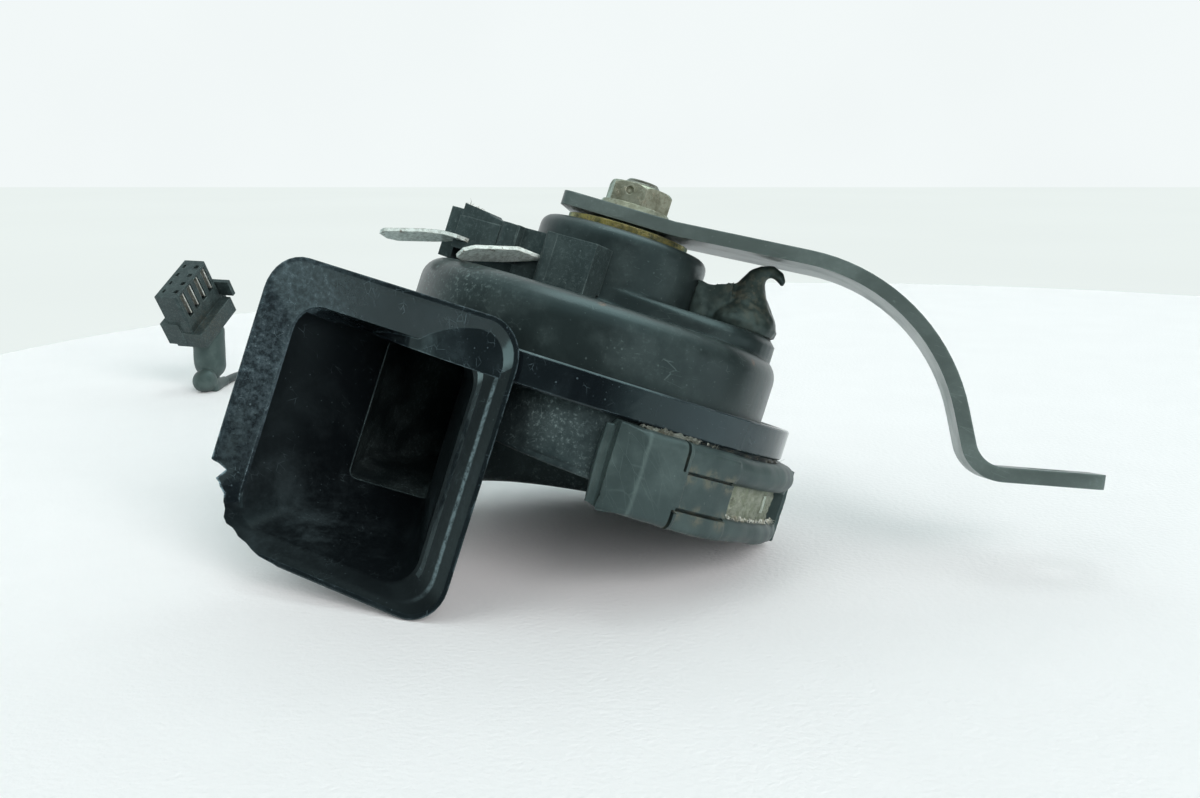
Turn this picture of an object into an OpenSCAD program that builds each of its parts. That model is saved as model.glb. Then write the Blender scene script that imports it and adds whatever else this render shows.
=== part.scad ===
// Motorcycle horn with a spiral trumpet, a strap bracket and a lead with a 4-way plug.
// Each piece is drawn upright, with the stud pointing up and the origin on the can's axis
// at the underside of the trumpet's plate. rest_pose() then lays the horn on the table.

/* [Can] */
// Outer radius of the lower body
can_r = 40; // [38:0.5:41]
// Height of the lower body, from its flange to the shoulder
can_body_h = 16.1; // [15:0.1:19]
// Thickness of the sheet
can_t = 1.2; // [0.8:0.1:1.5]
// Rounding of the shoulder's outer edge
can_edge_r = 5; // [3:0.5:6]
// Radius of the cap over the coil
cap_r = 18.8; // [18:0.1:19.6]
// Height of the cap over the shoulder
cap_h = 16; // [15:0.5:19]
// Rounding of the cap's top edge
cap_edge_r = 2.5; // [1:0.5:3.5]
// Height of the terrace that carries the adjusting screw
terrace_h = 4; // [3:0.5:6]
// Radius of the terrace's lobe
terrace_r = 16; // [15.5:0.5:17]
// Distance from the can's side to the centre of the lobe
terrace_in = 18; // [17:0.5:19]
// How far the can's flange stands out
flange_w = 3.4; // [3:0.1:5]

/* [Diaphragm and its clamp] */
// Thickness of the spring diaphragm
diaphragm_t = 0.4; // [0.3:0.1:0.6]
// Thickness of each gasket
gasket_t = 0.5; // [0.3:0.1:0.8]
// Sheet thickness of the rolled ring
ring_t = 0.5; // [0.4:0.1:0.7]
// Room between the rolled ring and the collar's bore
ring_gap = 0.4; // [0.3:0.1:0.6]

/* [Magnet] */
// Radius of the iron pole
pole_r = 6.5; // [5.5:0.25:7]
// Length of the pole under the cap's ceiling
pole_len = 22.3; // [21.8:0.1:22.6]
// Length of the coil's bobbin
bobbin_len = 16.3; // [14:0.1:17]
// Room between the bobbin's flanges and the cap's wall
bobbin_gap = 1.3; // [0.9:0.1:2.5]
// Thickness of the bobbin's wall and flanges
bobbin_t = 1; // [0.8:0.1:1.4]
// Gap that the armature closes
air_gap = 1; // [0.9:0.05:1.3]
// Radius of the armature's disc
armature_r = 13; // [12:0.25:13.5]
// Thickness of the armature's disc
armature_t = 3; // [2.5:0.1:3.5]
// Radius of the rivet that joins armature and diaphragm
rivet_r = 2.5; // [2:0.1:3]

/* [Contact breaker] */
// Distance from the can's side to the stack, along the strap's direction
stack_in = 11; // [10.5:0.25:12]
// Place of the stack across the strap's direction
stack_y = -9; // [-9.5:0.25:-8.5]
// Radius of the stack's post
stack_r = 3; // [2.5:0.1:3]
// Thickness of the fixed arm
fixed_arm_t = 1.2; // [1:0.1:1.5]
// Thickness of the moving arm
moving_arm_t = 0.4; // [0.3:0.05:0.6]
// Width of the moving arm
moving_arm_w = 6; // [5:0.5:6.5]
// Gap between the arms
arm_gap = 1.4; // [1.2:0.1:1.8]
// Radius of the contacts
contact_r = 1.8; // [1.4:0.1:2]
// Radius of the adjusting screw
screw_r = 2; // [1.5:0.25:2.5]
// Distance from the can's side to the adjusting screw
screw_in = 9; // [8.5:0.25:9.5]

/* [Trumpet] */
// Height of the collar
collar_h = 6.5; // [6.2:0.1:9]
// Thickness of the collar's wall
collar_wall = 2; // [1.6:0.1:2.2]
// Thickness of the plate under the diaphragm
plate_t = 2; // [1.6:0.1:2.4]
// Radius of the throat's hole in the plate
throat_r = 8; // [7:0.25:8.5]
// Wall of the spiral duct and of the bell
duct_wall = 2; // [1.6:0.1:2.4]
// Outer radius of the spiral duct's bore
duct_r = 42; // [41:0.25:42.5]
// Width of the duct's bore where the bell starts
duct_w = 18; // [16:0.5:19]
// Depth of the duct's bore where the bell starts
duct_h = 31; // [28:0.5:33]
// Depth of the duct's bore at the throat
throat_h = 8; // [7:0.5:9]
// How far the floor's edge stands out
duct_lip = 1.2; // [0.6:0.2:1.4]
// Width of the bell's mouth
mouth_w = 59.8; // [54:0.2:62]
// Height of the bell's mouth
mouth_h = 60.3; // [54:0.2:62]
// Height of the mouth's top edge over the plate's underside
mouth_z = 11.3; // [9.5:0.1:12]
// Rounding of the mouth's corners
mouth_corner_r = 8.5; // [5:0.5:11]
// Thickness of the bell's edge
mouth_wall = 1.5; // [1.2:0.1:2]

/* [Stud and bracket] */
// Radius of the stud
stud_r = 4; // [3:0.5:4]
// Thickness of the washer that seats on the can
seat_t = 1.5; // [1:0.1:2.5]
// Radius of the washer that seats on the can
seat_r = 13.5; // [12:0.5:15]
// Thickness of the thin washer over it
thin_washer_t = 0.8; // [0.6:0.1:1.6]
// Radius of the thin washer
thin_washer_r = 8.5; // [8:0.5:11]
// Thickness of the strap
strap_t = 3; // [2:0.5:4]
// Width of the strap
strap_w = 21.6; // [19:0.2:24]
// Length of the strap's head behind the stud
strap_head = 14.4; // [12:0.2:18]
// Flat stretch of the strap in front of the stud
strap_flat = 11; // [10:0.5:14]
// Rise of the strap after its flat stretch, in degrees
strap_rise = 4.5; // [3:0.5:8]
// Length of the rising stretch
strap_rise_len = 29; // [27:0.5:33]
// Radius of the large bend, at mid thickness
strap_bend_r = 40; // [34:1:45]
// Turn of the large bend, in degrees
strap_bend = 66; // [55:1:75]
// Length of the straight drop
strap_drop = 7.3; // [3:0.1:14]
// Radius of the small bend, at mid thickness
foot_bend_r = 7.2; // [5:0.2:10]
// Turn of the small bend, in degrees
foot_bend = 75; // [65:1:85]
// Length of the foot
foot_len = 19.8; // [18:0.1:30]
// Radius of the foot's hole
foot_hole_r = 4.25; // [3.25:0.25:5.25]
// Distance from the hole's centre to the foot's end
foot_hole_end = 9.8; // [9:0.2:12]
// Thickness of the nut's captive washer
nut_washer_t = 1.5; // [1:0.1:2]
// Radius of the nut's captive washer
nut_washer_r = 8.2; // [7.8:0.1:9]
// Height of the nut
nut_h = 4.5; // [4:0.1:6.5]
// Width of the nut across its flats
nut_flats = 13; // [12:0.5:14]

/* [Terminals] */
// Height of the terminal block over the shoulder
block_h = 11; // [9:0.5:13]
// Distance from the cap's wall to the block's outer face
block_out = 3.7; // [3.7:0.1:5.2]
// Turn of the block around the can's axis, in degrees
block_turn = -20.4; // [-23:0.2:-18]
// Width of each blade
blade_w = 6.3; // [4.8:0.1:6.5]
// Thickness of each blade
blade_t = 0.8; // [0.5:0.1:1]
// Length of each blade outside the block
blade_len = 12; // [8:0.5:13]

/* [Rubber boot] */
// Thickness of the boot's wall
boot_t = 5.4; // [4.4:0.1:6]
// Depth of the boot, from its top edge to its bottom edge
boot_h = 17; // [16:0.5:18]
// Radius of the rolled top edge
boot_roll_r = 3; // [2.5:0.1:3.2]
// Turn where the boot starts, in degrees
boot_start = -69; // [-72:1:-66]
// Turn where the boot ends, in degrees
boot_end = 110; // [100:1:114]
// How far the block stands out of the boot's wall
boot_block = 2.4; // [2:0.2:4]
// How much deeper the boot is behind its window
boot_drop = 0.5; // [0.2:0.1:1.4]
// Thickness of the metal band under the boot
band_t = 0.8; // [0.5:0.1:1]
// Width of the metal band
band_w = 5.6; // [4.5:0.1:5.8]

/* [Lead and plug] */
// Radius of the lead
lead_r = 1.5; // [1.2:0.1:1.8]
// Radius of the plug's sleeve
sleeve_r = 5.5; // [5:0.1:6]
// Length of the plug's front block
plug_len = 15.8; // [14:0.2:16]
// Width of the plug's housing
plug_w = 20.6; // [20:0.2:22]
// Thickness of the plug's front block
plug_t = 8.8; // [8.4:0.2:9.6]
// Length of the plug's rear block
plug_rear = 7; // [6:0.5:8]
// Distance between two contacts
plug_pitch = 4.6; // [4.2:0.1:4.8]

/* [Hidden] */

$fn = 96;
// Clearance between two pieces of one body that fit together
fit = 0.1;
// Radial clearance of a piece that turns or slides on a shaft
run = 0.08;
// Reach of a cut beyond the face that it opens
over = 1;

// Lean of the horn as it lies on the table, and its height over the table
lean_x = -12.6;
lean_y = 15.3;
lean_z = -13.3;
lift_z = 33.7;
move_x = -17.6;
move_y = 2.3;

// Levels of the stack, from the plate's underside up
ring_z = plate_t;
diaphragm_z = ring_z + ring_t + gasket_t;
can_z = diaphragm_z + diaphragm_t + gasket_t;
shoulder_z = can_z + can_body_h;
terrace_z = shoulder_z + terrace_h;
cap_z = shoulder_z + cap_h;
strap_z = cap_z + seat_t + thin_washer_t;
nut_washer_z = strap_z + strap_t;
nut_z = nut_washer_z + nut_washer_t;
pole_z = cap_z - can_t - pole_len;
armature_z = pole_z - air_gap;

// Radii of the pieces that nest in each other, from the can out to the collar
can_bore_r = can_r - can_t;
bobbin_r = cap_r - can_t - bobbin_gap;
flange_r = can_r + flange_w;
ring_r = flange_r + fit + ring_t;
bore_r = ring_r + ring_gap;
collar_r = bore_r + collar_wall;

// Places of what stands on the can
terrace_x = can_r - terrace_in;
screw_x = can_r - screw_in;
stack_x = can_r - stack_in;
block_y = cap_r + block_out;
bead_r = can_bore_r - 11.3;
bead_w = 7;

// Levels of the contact breaker
button_gap = 0.05;
fixed_arm_z = armature_z + 0.5;
insulator_z = fixed_arm_z + fixed_arm_t;
moving_arm_z = insulator_z + arm_gap;
moving_arm_top = moving_arm_z + moving_arm_t;
arm_play = 0.2;
contact_x = 17;
button_x = 9;

// The duct winds down from the bell to the throat
duct_turn = 400;
duct_start = 200;
duct_ease = 260;
duct_ease_turn = 130;
duct_step = 10;
well_r = throat_r + duct_wall;

// The mouth's plane, seen from above
mouth_turn = -11.9;
mouth_c = [-32.1, -41.7];
throat_turn = duct_start - 180;
throat_c = (duct_r - duct_w / 2) * [cos(duct_start), sin(duct_start)];
bell_rings = 9;

// Heights of the boot and its band
boot_r = duct_r + duct_wall + fit + band_t + fit;
boot_z = -0.6;
band_z = -4.6;
window_end = -5;
tab_end = -36;
block_end = -52;

// Between a and b, by the share t
function lerp(a, b, t) = a + (b - a) * t;

// Points of an arc in a plane
function arc(c, r, a0, a1, n) = [for (i = [0:n]) let (a = lerp(a0, a1, i / n)) c + r * [cos(a), sin(a)]];

function dir(a) = [cos(a), sin(a)];
function nrm(a) = [-sin(a), cos(a)];

// Lays the upright horn on the table
module rest_pose() {
  translate([move_x, move_y, lift_z]) rotate([lean_x, lean_y, lean_z]) children();
}

// Turn of a point about one axis
function turn_x(p, a) = [p[0], p[1] * cos(a) - p[2] * sin(a), p[1] * sin(a) + p[2] * cos(a)];
function turn_y(p, a) = [p[0] * cos(a) + p[2] * sin(a), p[1], p[2] * cos(a) - p[0] * sin(a)];
function turn_z(p, a) = [p[0] * cos(a) - p[1] * sin(a), p[0] * sin(a) + p[1] * cos(a), p[2]];

// Place on the table of a point of the upright horn
function rest_point(p) = [move_x, move_y, lift_z] + turn_z(turn_y(turn_x(p, lean_x), lean_y), lean_z);

// Twice the area vector of a ring of points
function ring_area(r, i = 0) =
  i == len(r) ? [0, 0, 0] : cross(r[i] - r[0], r[(i + 1) % len(r)] - r[0]) + ring_area(r, i + 1);

// Solid through a list of closed rings that have the same number of points, wound either way
module loft(rings) {
  n = len(rings[0]);
  m = len(rings);
  along = rings[1][0] - rings[0][0];
  outward = ring_area(rings[0]) * along < 0;
  points = [for (r = rings) for (i = [0:n - 1]) r[outward ? n - 1 - i : i]];
  sides = [
    for (j = [0:m - 2]) for (i = [0:n - 1]) let (a = j * n + i, b = j * n + (i + 1) % n)
      each [[a, a + n, b + n], [a, b + n, b]]
  ];
  first = [for (i = [0:n - 1]) i];
  last = [for (i = [n - 1:-1:0]) (m - 1) * n + i];
  polyhedron(points, concat([first, last], sides), convexity = 8);
}

// Ring with a plain section
module ring(r_out, r_in, z, h) {
  translate([0, 0, z]) difference() {
    cylinder(r = r_out, h = h);
    translate([0, 0, -over]) cylinder(r = r_in, h = h + 2 * over);
  }
}

// Half section of the can's skin at an inset: 0 is outside, can_t is inside
function can_side(inset, base) = concat(
  [[can_r - inset, base]],
  arc([can_r - can_edge_r, shoulder_z - can_edge_r], can_edge_r - inset, 0, 90, 8),
  [[cap_r + 1.2 - inset, shoulder_z - inset], [cap_r - inset, shoulder_z + 1.2 - inset]],
  arc([cap_r - cap_edge_r, cap_z - cap_edge_r], cap_edge_r - min(inset, cap_edge_r - 0.2), 0, 90, 6),
  [[0, cap_z - inset]]
);

// Pear-shaped terrace, drawn in at its top
module terrace(inset, z, h, draft) {
  hull() {
    translate([0, 0, z]) cylinder(r = cap_r + 0.6 - inset, h = 0.01, $fn = 48);
    translate([0, 0, z + h - 0.01]) cylinder(r = cap_r - inset, h = 0.01, $fn = 48);
    translate([terrace_x, 0, z]) cylinder(r = terrace_r - inset, h = h - draft, $fn = 48);
    translate([terrace_x, 0, z + h - 0.01]) cylinder(r = terrace_r - draft - inset, h = 0.01, $fn = 48);
  }
}

module can() rest_pose() color([0.20, 0.25, 0.25]) {
  difference() {
    union() {
      rotate_extrude() polygon(concat([[0, can_z], [flange_r, can_z], [flange_r, can_z + can_t]],
        can_side(0, can_z + can_t)));
      terrace(0, shoulder_z - 2, terrace_h + 2, 1.5);
    }
    rotate_extrude() polygon(concat([[0, can_z - over], [can_bore_r, can_z - over]],
      can_side(can_t, can_z)));
    terrace(can_t, shoulder_z - 3, terrace_h + 3 - can_t, 1.5);
    cylinder(r = pole_r - 1.5 + fit, h = cap_z + over);
    translate([screw_x, 0, terrace_z - 4]) cylinder(r = screw_r + run, h = 4 + over);
  }
  // threaded boss of the adjusting screw
  translate([screw_x, 0, 0]) ring(screw_r + 2, screw_r + run, terrace_z - can_t - 2.5, 2.5 + can_t / 2);
}

module core_stud() rest_pose() color([0.45, 0.45, 0.42]) {
  top = nut_z + nut_h + 1.3;
  rotate_extrude() polygon([
    [0, pole_z], [pole_r, pole_z], [pole_r, cap_z - can_t], [pole_r - 1.5, cap_z - can_t],
    [pole_r - 1.5, cap_z], [stud_r, cap_z], [stud_r, top - 0.8], [stud_r - 0.8, top], [0, top]
  ]);
}

module coil_bobbin() rest_pose() color([0.85, 0.83, 0.75]) {
  z = cap_z - can_t - bobbin_len;
  inner = pole_r + fit;
  difference() {
    rotate_extrude() polygon([
      [inner, z], [bobbin_r, z], [bobbin_r, z + bobbin_t], [inner + bobbin_t, z + bobbin_t],
      [inner + bobbin_t, z + bobbin_len - bobbin_t], [bobbin_r, z + bobbin_len - bobbin_t],
      [bobbin_r, z + bobbin_len], [inner, z + bobbin_len]
    ]);
    // slots for the two ends of the wire
    for (y = [-4, 4]) translate([-bobbin_r, y - 0.5, z - over]) cube([4, 1, bobbin_t + 2 * over]);
  }
}

module coil_winding() rest_pose() color([0.55, 0.28, 0.12]) {
  z = cap_z - can_t - bobbin_len + bobbin_t;
  ring(bobbin_r - 1.2, pole_r + fit + bobbin_t + fit, z, bobbin_len - 2 * bobbin_t);
}

module armature() rest_pose() color([0.42, 0.43, 0.42]) {
  base = diaphragm_z + diaphragm_t;
  rotate_extrude() polygon([
    [rivet_r + fit, base], [rivet_r + 2.5, base], [rivet_r + 2.5, armature_z - armature_t],
    [armature_r - 0.5, armature_z - armature_t], [armature_r, armature_z - armature_t + 0.5],
    [armature_r, armature_z - 0.5], [armature_r - 0.5, armature_z], [rivet_r + fit, armature_z]
  ]);
}

module armature_rivet() rest_pose() color([0.6, 0.6, 0.58]) {
  head = rivet_r + 3;
  rotate_extrude() polygon([
    [0, diaphragm_z - 1.1], [head - 1.5, diaphragm_z - 1.1], [head, diaphragm_z - 0.4],
    [head, diaphragm_z], [rivet_r, diaphragm_z], [rivet_r, armature_z - 0.3], [0, armature_z - 0.3]
  ]);
}

module diaphragm() rest_pose() color([0.5, 0.52, 0.52]) {
  top = diaphragm_z + diaphragm_t;
  rise = 0.35;
  rotate_extrude() polygon([
    [rivet_r + fit, diaphragm_z], [bead_r - bead_w / 2, diaphragm_z],
    [bead_r - bead_w / 5, diaphragm_z + rise], [bead_r + bead_w / 5, diaphragm_z + rise],
    [bead_r + bead_w / 2, diaphragm_z], [flange_r, diaphragm_z], [flange_r, top],
    [bead_r + bead_w / 2, top], [bead_r + bead_w / 5, top + rise],
    [bead_r - bead_w / 5, top + rise], [bead_r - bead_w / 2, top], [rivet_r + fit, top]
  ]);
}

module gasket_upper() rest_pose() color([0.30, 0.20, 0.12]) {
  ring(flange_r, can_bore_r, diaphragm_z + diaphragm_t, gasket_t);
}

module gasket_lower() rest_pose() color([0.30, 0.20, 0.12]) {
  ring(flange_r, can_bore_r, diaphragm_z - gasket_t, gasket_t);
}

// Rolled ring that holds flange, gaskets and diaphragm together
module clamp_ring() rest_pose() color([0.5, 0.5, 0.48]) {
  inner = ring_r - ring_t;
  under = can_z + can_t;
  lip = flange_r - 2.2;
  rotate_extrude() polygon([
    [can_bore_r, ring_z], [ring_r, ring_z], [ring_r, under + ring_t], [lip, under + ring_t],
    [lip, under], [inner, under], [inner, ring_z + ring_t], [can_bore_r, ring_z + ring_t]
  ]);
}

// Post of the breaker's stack: it hangs from the terrace, and its pin carries both arms
module contact_post() rest_pose() color([0.75, 0.68, 0.5]) {
  foot = moving_arm_top + arm_play;
  top = terrace_z - can_t;
  // drawn in at the top, clear of the terrace's rounded edge
  translate([stack_x, stack_y, 0]) rotate_extrude() polygon([
    [0, fixed_arm_z - 0.8], [2.6, fixed_arm_z - 0.8], [2.6, fixed_arm_z], [1.5, fixed_arm_z], [1.5, foot],
    [stack_r, foot], [stack_r, top - 2.2], [stack_r - 1.3, top], [0, top]
  ]);
}

module contact_insulator() rest_pose() color([0.80, 0.72, 0.5]) {
  translate([stack_x, stack_y, 0]) ring(stack_r, 1.5 + fit, insulator_z, arm_gap - arm_play);
}

// The fixed arm reaches under the adjusting screw, which bends it
module contact_fixed_arm() rest_pose() color([0.6, 0.55, 0.4]) {
  side = moving_arm_w / 2 + 0.5;
  difference() {
    translate([0, 0, fixed_arm_z]) linear_extrude(fixed_arm_t) polygon([
      [armature_r + 1.5, stack_y - side], [stack_x + side, stack_y - side],
      [stack_x + side, stack_y + side], [screw_x + 3, stack_y + side], [screw_x + 3, 3.5],
      [screw_x - 4, 3.5], [screw_x - 4, stack_y + side], [armature_r + 1.5, stack_y + side]
    ]);
    translate([stack_x, stack_y, fixed_arm_z - over]) cylinder(r = 1.5 + fit, h = fixed_arm_t + 2 * over);
  }
}

module contact_fixed() rest_pose() color([0.75, 0.75, 0.74]) {
  translate([contact_x, stack_y, insulator_z]) cylinder(r = contact_r, h = arm_gap / 2 - button_gap);
}

module contact_moving() rest_pose() color([0.75, 0.75, 0.74]) {
  translate([contact_x, stack_y, insulator_z + arm_gap / 2]) cylinder(r = contact_r, h = arm_gap / 2);
}

module contact_moving_arm() rest_pose() color([0.72, 0.6, 0.35]) {
  difference() {
    union() {
      translate([button_x - 1.7, stack_y - moving_arm_w / 2, moving_arm_z])
        cube([stack_x - button_x + 1.7, moving_arm_w, moving_arm_t]);
      translate([stack_x, stack_y, moving_arm_z]) cylinder(r = moving_arm_w / 2, h = moving_arm_t);
    }
    translate([stack_x, stack_y, moving_arm_z - over]) cylinder(r = 1.9, h = moving_arm_t + 2 * over);
  }
}

// The armature lifts the moving arm by this button
module contact_button() rest_pose() color([0.85, 0.8, 0.6]) {
  z = armature_z + button_gap;
  translate([button_x, stack_y + 1.6, z]) cylinder(r = 1.2, h = moving_arm_z - z);
}

module adjusting_screw() rest_pose() color([0.5, 0.45, 0.3]) {
  z = insulator_z + fit;
  top = terrace_z + 2.5;
  translate([screw_x, 0, 0]) difference() {
    translate([0, 0, z]) cylinder(r = screw_r, h = top - z);
    translate([-screw_r - over, -0.3, top - 1]) cube([2 * screw_r + 2 * over, 0.6, 2]);
  }
}

// Sealant over the screw: a bulb with a neck, and a tip that curls over where it was pulled off
module adjuster_seal() rest_pose() color([0.22, 0.23, 0.20]) {
  // height over the terrace, shift from the screw, radius and lean of each ring
  bulb = [
    [0, -1.2, 7.6, 0], [1.6, -1.0, 7.8, 0], [3.2, -1.3, 7.0, 0], [5.2, -1.6, 5.6, 0],
    [7.8, -1.7, 4.2, 0], [10.2, -1.5, 3.0, 4], [12.2, -1.0, 2.2, 14], [13.5, 0.2, 1.7, 42],
    [13.9, 1.8, 1.4, 84], [13.4, 3.3, 1.1, 122], [12.4, 4.2, 0.8, 150], [11.6, 4.5, 0.4, 160]
  ];
  difference() {
    union() {
      translate([screw_x, 0, terrace_z]) loft([
        for (b = bulb) [for (i = [0:15]) let (a = 22.5 * i)
          [b[1] + b[2] * cos(a) * cos(b[3]), b[2] * sin(a), b[0] - b[2] * cos(a) * sin(b[3])]]
      ]);
      // web that joins the bulb to the cap's wall
      translate([0, 4.5, terrace_z]) rotate([90, 0, 0]) linear_extrude(9) polygon([
        [cap_r - 1, 0], [screw_x - 4, 0], [screw_x - 5, 9.5], [screw_x - 8, 8.2],
        [cap_r + 2.2, 7.4], [cap_r + fit, 7.6], [cap_r - 1, 7.6]
      ]);
    }
    cylinder(r = cap_r + fit, h = cap_z);
    translate([screw_x, 0, terrace_z - over]) cylinder(r = screw_r + fit, h = 2.6 + over);
  }
}

// Blade terminals: a tang in the block, a twisted neck that was stretched thin, and a tip bent in use
neck_len = 5;
neck_thin = 0.02;

module neck_end(depth) {
  cube([depth, blade_w - 2 * neck_thin, blade_t - 2 * neck_thin], center = true);
}

module blade(root, turn, drop, roll) {
  translate(root) {
    hull() {
      rotate([0, 0, 90]) neck_end(0.6);
      rotate([0, drop, turn]) rotate([roll, 0, 0]) translate([neck_len, 0, 0]) neck_end(0.6);
    }
    rotate([0, drop, turn]) rotate([roll, 0, 0]) translate([neck_len, 0, -blade_t / 2]) linear_extrude(blade_t)
      polygon([[0, -blade_w / 2], [blade_len - 2, -blade_w / 2], [blade_len, -blade_w / 4],
        [blade_len, blade_w / 4], [blade_len - 2, blade_w / 2], [0, blade_w / 2]]);
  }
}

// The right tang is short, because it stops at the cap's wall
left_tang = 4;
right_tang = 2.2;
left_root = [-27.4, -block_y - 1.5, 4.7];
right_root = [-8.2, -block_y + 1.8, 5.5];
rivet_at = [[5.8, -block_y + 1.5], [-20, -block_y + 6.5]];

module terminal_frame() {
  rotate([0, 0, block_turn]) translate([0, 0, shoulder_z]) children();
}

module terminal_blade_left() rest_pose() color([0.72, 0.74, 0.72]) {
  terminal_frame() {
    translate(left_root) rotate([0, 0, -90]) translate([-blade_w / 2, 0, -blade_t / 2])
      cube([blade_w, left_tang, blade_t]);
    translate(left_root) rotate([0, 0, -90]) blade([0, 0, 0], 276, 13, 8);
  }
}

module terminal_blade_right() rest_pose() color([0.72, 0.74, 0.72]) {
  terminal_frame() {
    translate(right_root - [blade_w / 2, 0, blade_t / 2]) cube([blade_w, right_tang, blade_t]);
    blade(right_root, 246, 15, 30);
  }
}

// Moulded block: a post, a recess for the right blade, a stepped shield and a slab
module terminal_block() rest_pose() color([0.24, 0.28, 0.27]) {
  terminal_frame() difference() {
    union() {
      translate([-3, -block_y - 1, 0]) cube([11.2, 9.5, block_h]);
      translate([-3, -block_y - 0.2, 0]) cylinder(r = 1.6, h = block_h, $fn = 32);
      translate([-12.5, -block_y + 2, 0]) cube([9.6, 8, block_h - 0.3]);
      translate([0, -block_y + 6.5, 0]) rotate([90, 0, 0]) linear_extrude(6.5) polygon([
        [-27.4, 2.6], [-12, 2.6], [-12, block_h - 0.3], [-16, block_h - 0.5], [-20, block_h + 0.2],
        [-20.6, block_h + 0.6], [-27.4, block_h + 1.4]
      ]);
      translate([-27.4, -block_y - 0.5, 2.6]) cube([11, 1, block_h - 4]);
      translate([-14.4, -block_y + 0.4, 2.6]) cylinder(r = 2, h = block_h - 3, $fn = 32);
      translate([-26.6, -block_y + 3.5, 0]) cube([14.6, 6.5, 4]);
      translate([-32.5, -block_y + 2.5, 0.3]) cube([3.5, 7, block_h]);
      translate([-30, -block_y + 6, 1]) cube([5, 3.5, block_h - 2]);
    }
    translate([0, 0, -over]) cylinder(r = cap_r + 1.2 + fit, h = 1.2 + fit + over);
    cylinder(r = cap_r + 2 * fit, h = block_h + over);
    for (p = rivet_at) translate([p[0], p[1], 0]) {
      translate([0, 0, -over]) cylinder(r = 1.2 + fit, h = block_h + 2 * over);
      translate([0, 0, block_h - 3]) cylinder(r = 1.9 + fit, h = 3 + 2 * over);
    }
    // slots for the tangs
    translate(right_root - [blade_w / 2 + fit, over, blade_t / 2 + fit])
      cube([blade_w + 2 * fit, right_tang + over + fit, blade_t + 2 * fit]);
    translate(left_root) rotate([0, 0, -90]) translate([-blade_w / 2 - fit, -over, -blade_t / 2 - fit])
      cube([blade_w + 2 * fit, left_tang + over + fit, blade_t + 2 * fit]);
  }
}

module terminal_rivets() rest_pose() color([0.55, 0.5, 0.35]) {
  terminal_frame() for (p = rivet_at) translate([p[0], p[1], 0]) {
    cylinder(r = 1.2, h = block_h - 3);
    translate([0, 0, block_h - 3]) cylinder(r1 = 1.9, r2 = 1.5, h = 1);
  }
}

// Rounded rectangle in a plane: half extents to the right, left, top and bottom, and a corner radius
function mouth_outline(r, l, t, b, c) = [
  for (k = [[r - c, t - c, 0], [c - l, t - c, 90], [c - l, c - b, 180], [r - c, c - b, 270]])
    each arc([k[0], k[1]], c, k[2], k[2] + 90, 4)
];

// One side of the bell at a share s of its depth: a quick flare at the lip, then an even taper
function flare(mouth, throat, lip, power, s) =
  throat + (mouth - throat) * ((1 - lip) * pow(max(1 - s, 0), power) + lip * exp(-8 * s) * (1 - s));

function bell_ring(s, wall) =
  let (
    turn = lerp(mouth_turn, throat_turn, s * s * (3 - 2 * s)),
    mid = lerp(mouth_c, throat_c, s),
    zc = lerp(mouth_z - mouth_h / 2, -duct_h / 2, s),
    half_w = mouth_w / 2 - mouth_wall,
    r = flare(half_w, duct_w / 2, 0.25, 1.7, s) + wall,
    l = flare(half_w, duct_w / 2, 0.2, 1, s) + wall,
    t = flare(mouth_z - mouth_wall, 0, 0.7, 1.5, s) + wall - zc,
    b = zc - flare(mouth_z - mouth_h + mouth_wall, -duct_h, 0.2, 1, s) + wall,
    c = lerp(mouth_corner_r - mouth_wall, 2, s) + wall * (1 - s)
  )
  [for (p = mouth_outline(r, l, t, b, c))
    [mid[0] + p[0] * cos(turn), mid[1] + p[0] * sin(turn), zc + p[1]]];

// Shares of the depth, closer together near the lip
function bell_share(i) = pow(i / bell_rings, 1.6);

// Edge of the break in the mouth's plane, to the right and up from its centre
broken_corner = [
  [-32, -14.4], [-29.4, -14.8], [-26.4, -16], [-27.6, -18.2], [-26.6, -19.6], [-25.6, -20.8], [-24.4, -23.6],
  [-22.8, -26.2], [-19, -27.6], [-12, -29.4], [-5, -30.4], [-5, -33], [-32, -33]
];

// Upper moulding of the trumpet: plate, collar, and the bell with its flared mouth
module trumpet_bell() rest_pose() color([0.10, 0.12, 0.13]) {
  snap_z = can_z + can_t + ring_t + fit;
  difference() {
    union() {
      cylinder(r = collar_r, h = collar_h);
      loft([for (i = [0:bell_rings]) let (s = bell_share(i)) bell_ring(s, lerp(mouth_wall, duct_wall, s))]);
    }
    // the air's way, which leaves the collar's drum whole
    difference() {
      loft(concat([bell_ring(-0.02, 0)], [for (i = [1:bell_rings - 1]) bell_ring(bell_share(i), 0)],
        [bell_ring(1.02, 0)]));
      cylinder(r = collar_r, h = mouth_z + over);
    }
    translate([0, 0, plate_t]) cylinder(r = bore_r, h = mouth_z);
    translate([0, 0, -over]) cylinder(r = throat_r, h = plate_t + 2 * over);
    // the lower corner of the mouth is broken off
    translate([mouth_c[0], mouth_c[1], mouth_z - mouth_h / 2]) rotate([90, 0, mouth_turn])
      linear_extrude(9, center = true) polygon(broken_corner);
  }
  // three snap lugs hold the clamp ring down
  for (a = [30, 150, 270]) rotate([0, 0, a - 7]) rotate_extrude(angle = 14)
    polygon([[bore_r + 0.4, snap_z], [bore_r - 0.9, snap_z], [bore_r + 0.4, collar_h - 0.5]]);
}

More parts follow.
